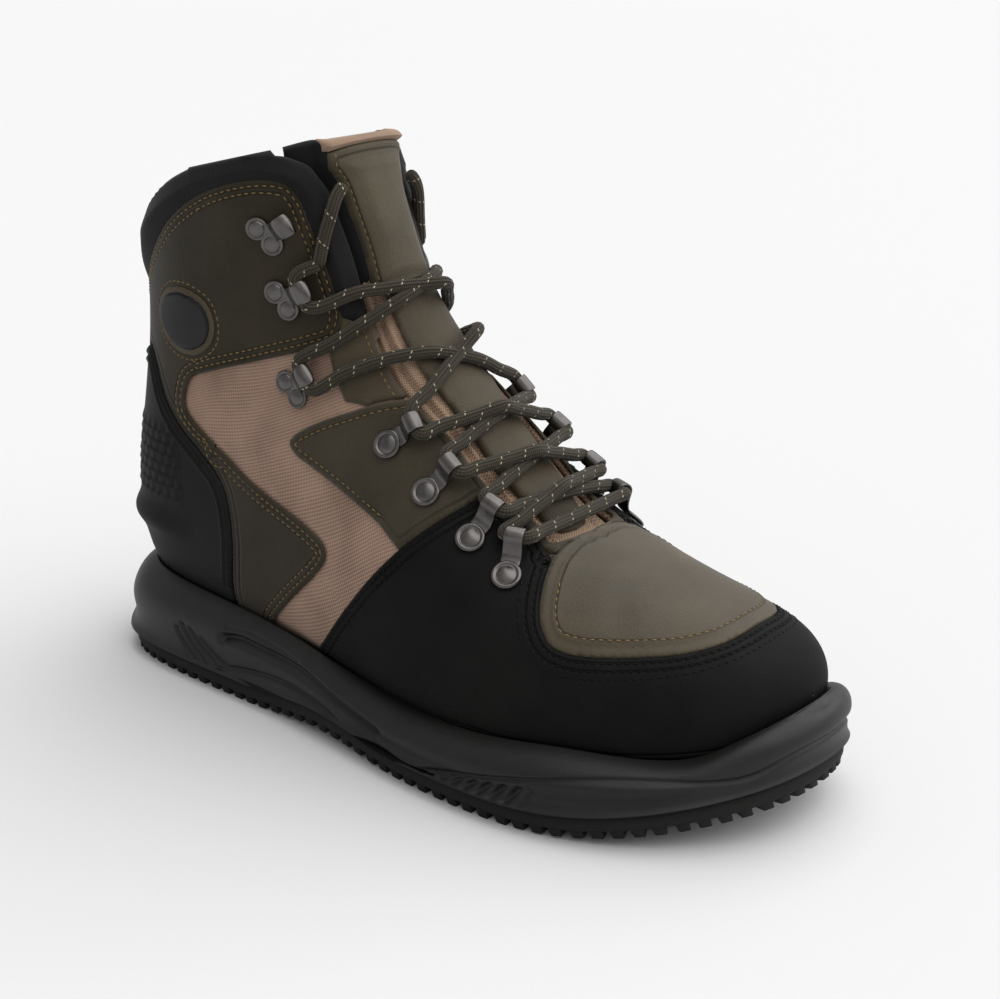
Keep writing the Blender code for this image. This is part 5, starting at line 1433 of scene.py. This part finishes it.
def exit_point(number, side, towards_toe):
    """Where the lace leaves a fitting: station, ring, point."""
    row = FASTENINGS[number]
    hook = number >= len(EYELETS)
    reach, width = (HOOK_REACH * 0.66, HOOK_WIDTH) if hook else (LOOP_REACH, EYELET_WIDTH)
    turn = 1 if (side == 1) == towards_toe else -1
    point = seat_frame(row, side) @ Vector((reach + 0.6 * MM, turn * (width / 2 + 1.4 * MM), 3.7 * MM))
    return row[2] - (0.012 if towards_toe else -0.012), row[3] + 0.03, np.array(point)


def inside_point(number, side):
    """The lace inside a fitting's tunnel or under its hood."""
    hook = number >= len(EYELETS)
    reach = HOOK_REACH * 0.64 if hook else LOOP_REACH
    return np.array(seat_frame(FASTENINGS[number], side) @ Vector((reach, 0, 3.6 * MM)))


CROSSING_RISE = 4.9 * MM


def rise_over(origin, ahead, up):
    """How far the skins stand up above a place on the chord, under the cord's whole width."""
    beside = ahead.cross(up).normalized()
    found = []
    for share in (-0.8, 0, 0.8):
        start = origin + up * 60 * MM + beside * share * LACE_RADIUS
        hit = worn.ray_cast(start, -up, 0.1)[0]
        if hit is not None:
            found.append((hit - origin).dot(up))
    return max(found, default=-1.0)


def across_tongue(start, end, first_side, over):
    """A taut run from one side to the other; over is 1 on top, -1 below, 0 alone."""
    a, b = Vector(start[2]), Vector(end[2])
    ahead = (b - a).normalized()
    middle = (a + b) / 2
    nearest = np.linalg.norm(RIDGE - np.array(middle), axis=1).argmin()
    up = Vector(RIDGE_UP[nearest])
    up = (up - ahead * up.dot(ahead)).normalized()
    shares = np.linspace(0, 1, 41)
    heights = np.array([rise_over(a.lerp(b, t), ahead, up) + LACE_RADIUS + 0.2 * MM for t in shares])
    heights[[0, -1]] = 0
    if over > 0:
        heights += CROSSING_RISE * np.exp(-((shares - 0.5) / 0.07) ** 2) * (heights > -0.5)
    taut, at = [0], 0
    while at < len(shares) - 1:
        slopes = (heights[at + 1:] - heights[at]) / (shares[at + 1:] - shares[at])
        at += 1 + int(slopes.argmax())
        taut.append(at)
    made = []
    for t in np.linspace(0.1, 0.9, 9):
        spot = a.lerp(b, t) + up * float(np.interp(t, shares[taut], heights[taut]))
        made.append(np.array(spot))
    return made


def half_lace(first_side):
    """From the middle of the bar, up one half of the lacing, to the last hook used."""
    made, side = [], first_side
    for number in range(6):
        toe_side, collar_side = exit_point(number, side, True), exit_point(number, side, False)
        made += [toe_side[2], inside_point(number, side), collar_side[2]]
        if number < 5:
            other = exit_point(number + 1, -side, True)
            made += across_tongue(collar_side, other, side, 1 if OVER[number] == first_side else -1)
            side = -side
    return made


LACE_END = (
    (0.712, 0.782, 4.6), (0.728, 0.800, 4.6), (0.745, 0.818, 4.7), (0.762, 0.836, 4.9),
    (0.778, 0.852, 4.8), (0.792, 0.868, 4.2), (0.803, 0.882, 3.4),
)
ends = {side: np.array([surface(s, r, side) + outward(s, r, side) * rise * MM for s, r, rise in LACE_END])
        for side in (-1, 1)}
bar_from, bar_to = exit_point(0, -1, True), exit_point(0, 1, True)
bar = across_tongue(bar_from, bar_to, -1, 0)
lateral_half, medial_half = half_lace(-1), half_lace(1)
whole = lateral_half[::-1] + bar + medial_half
bm, _, length = tube([ends[1][0]] + whole + [ends[-1][0]], LACE_RADIUS, 1100)
add_piece("lace", bm, lace_cord, "lace", "lace_bar", *[f"lace_cross_{i}" for i in range(1, 6)])
print(f"lace through the fittings: {length:.3f} m")
for side, word in ((-1, "lateral"), (1, "medial")):
    bm, path, length = tube(ends[side], LACE_RADIUS, 48)
    tail = add_piece(f"lace_tail_{word}", bm, lace_cord, "lace", f"lace_end_{word}")
    [tuple(float(v) for v in point) for point in path[::2]]
    print(f"lace tail {word}: {length:.4f} m")
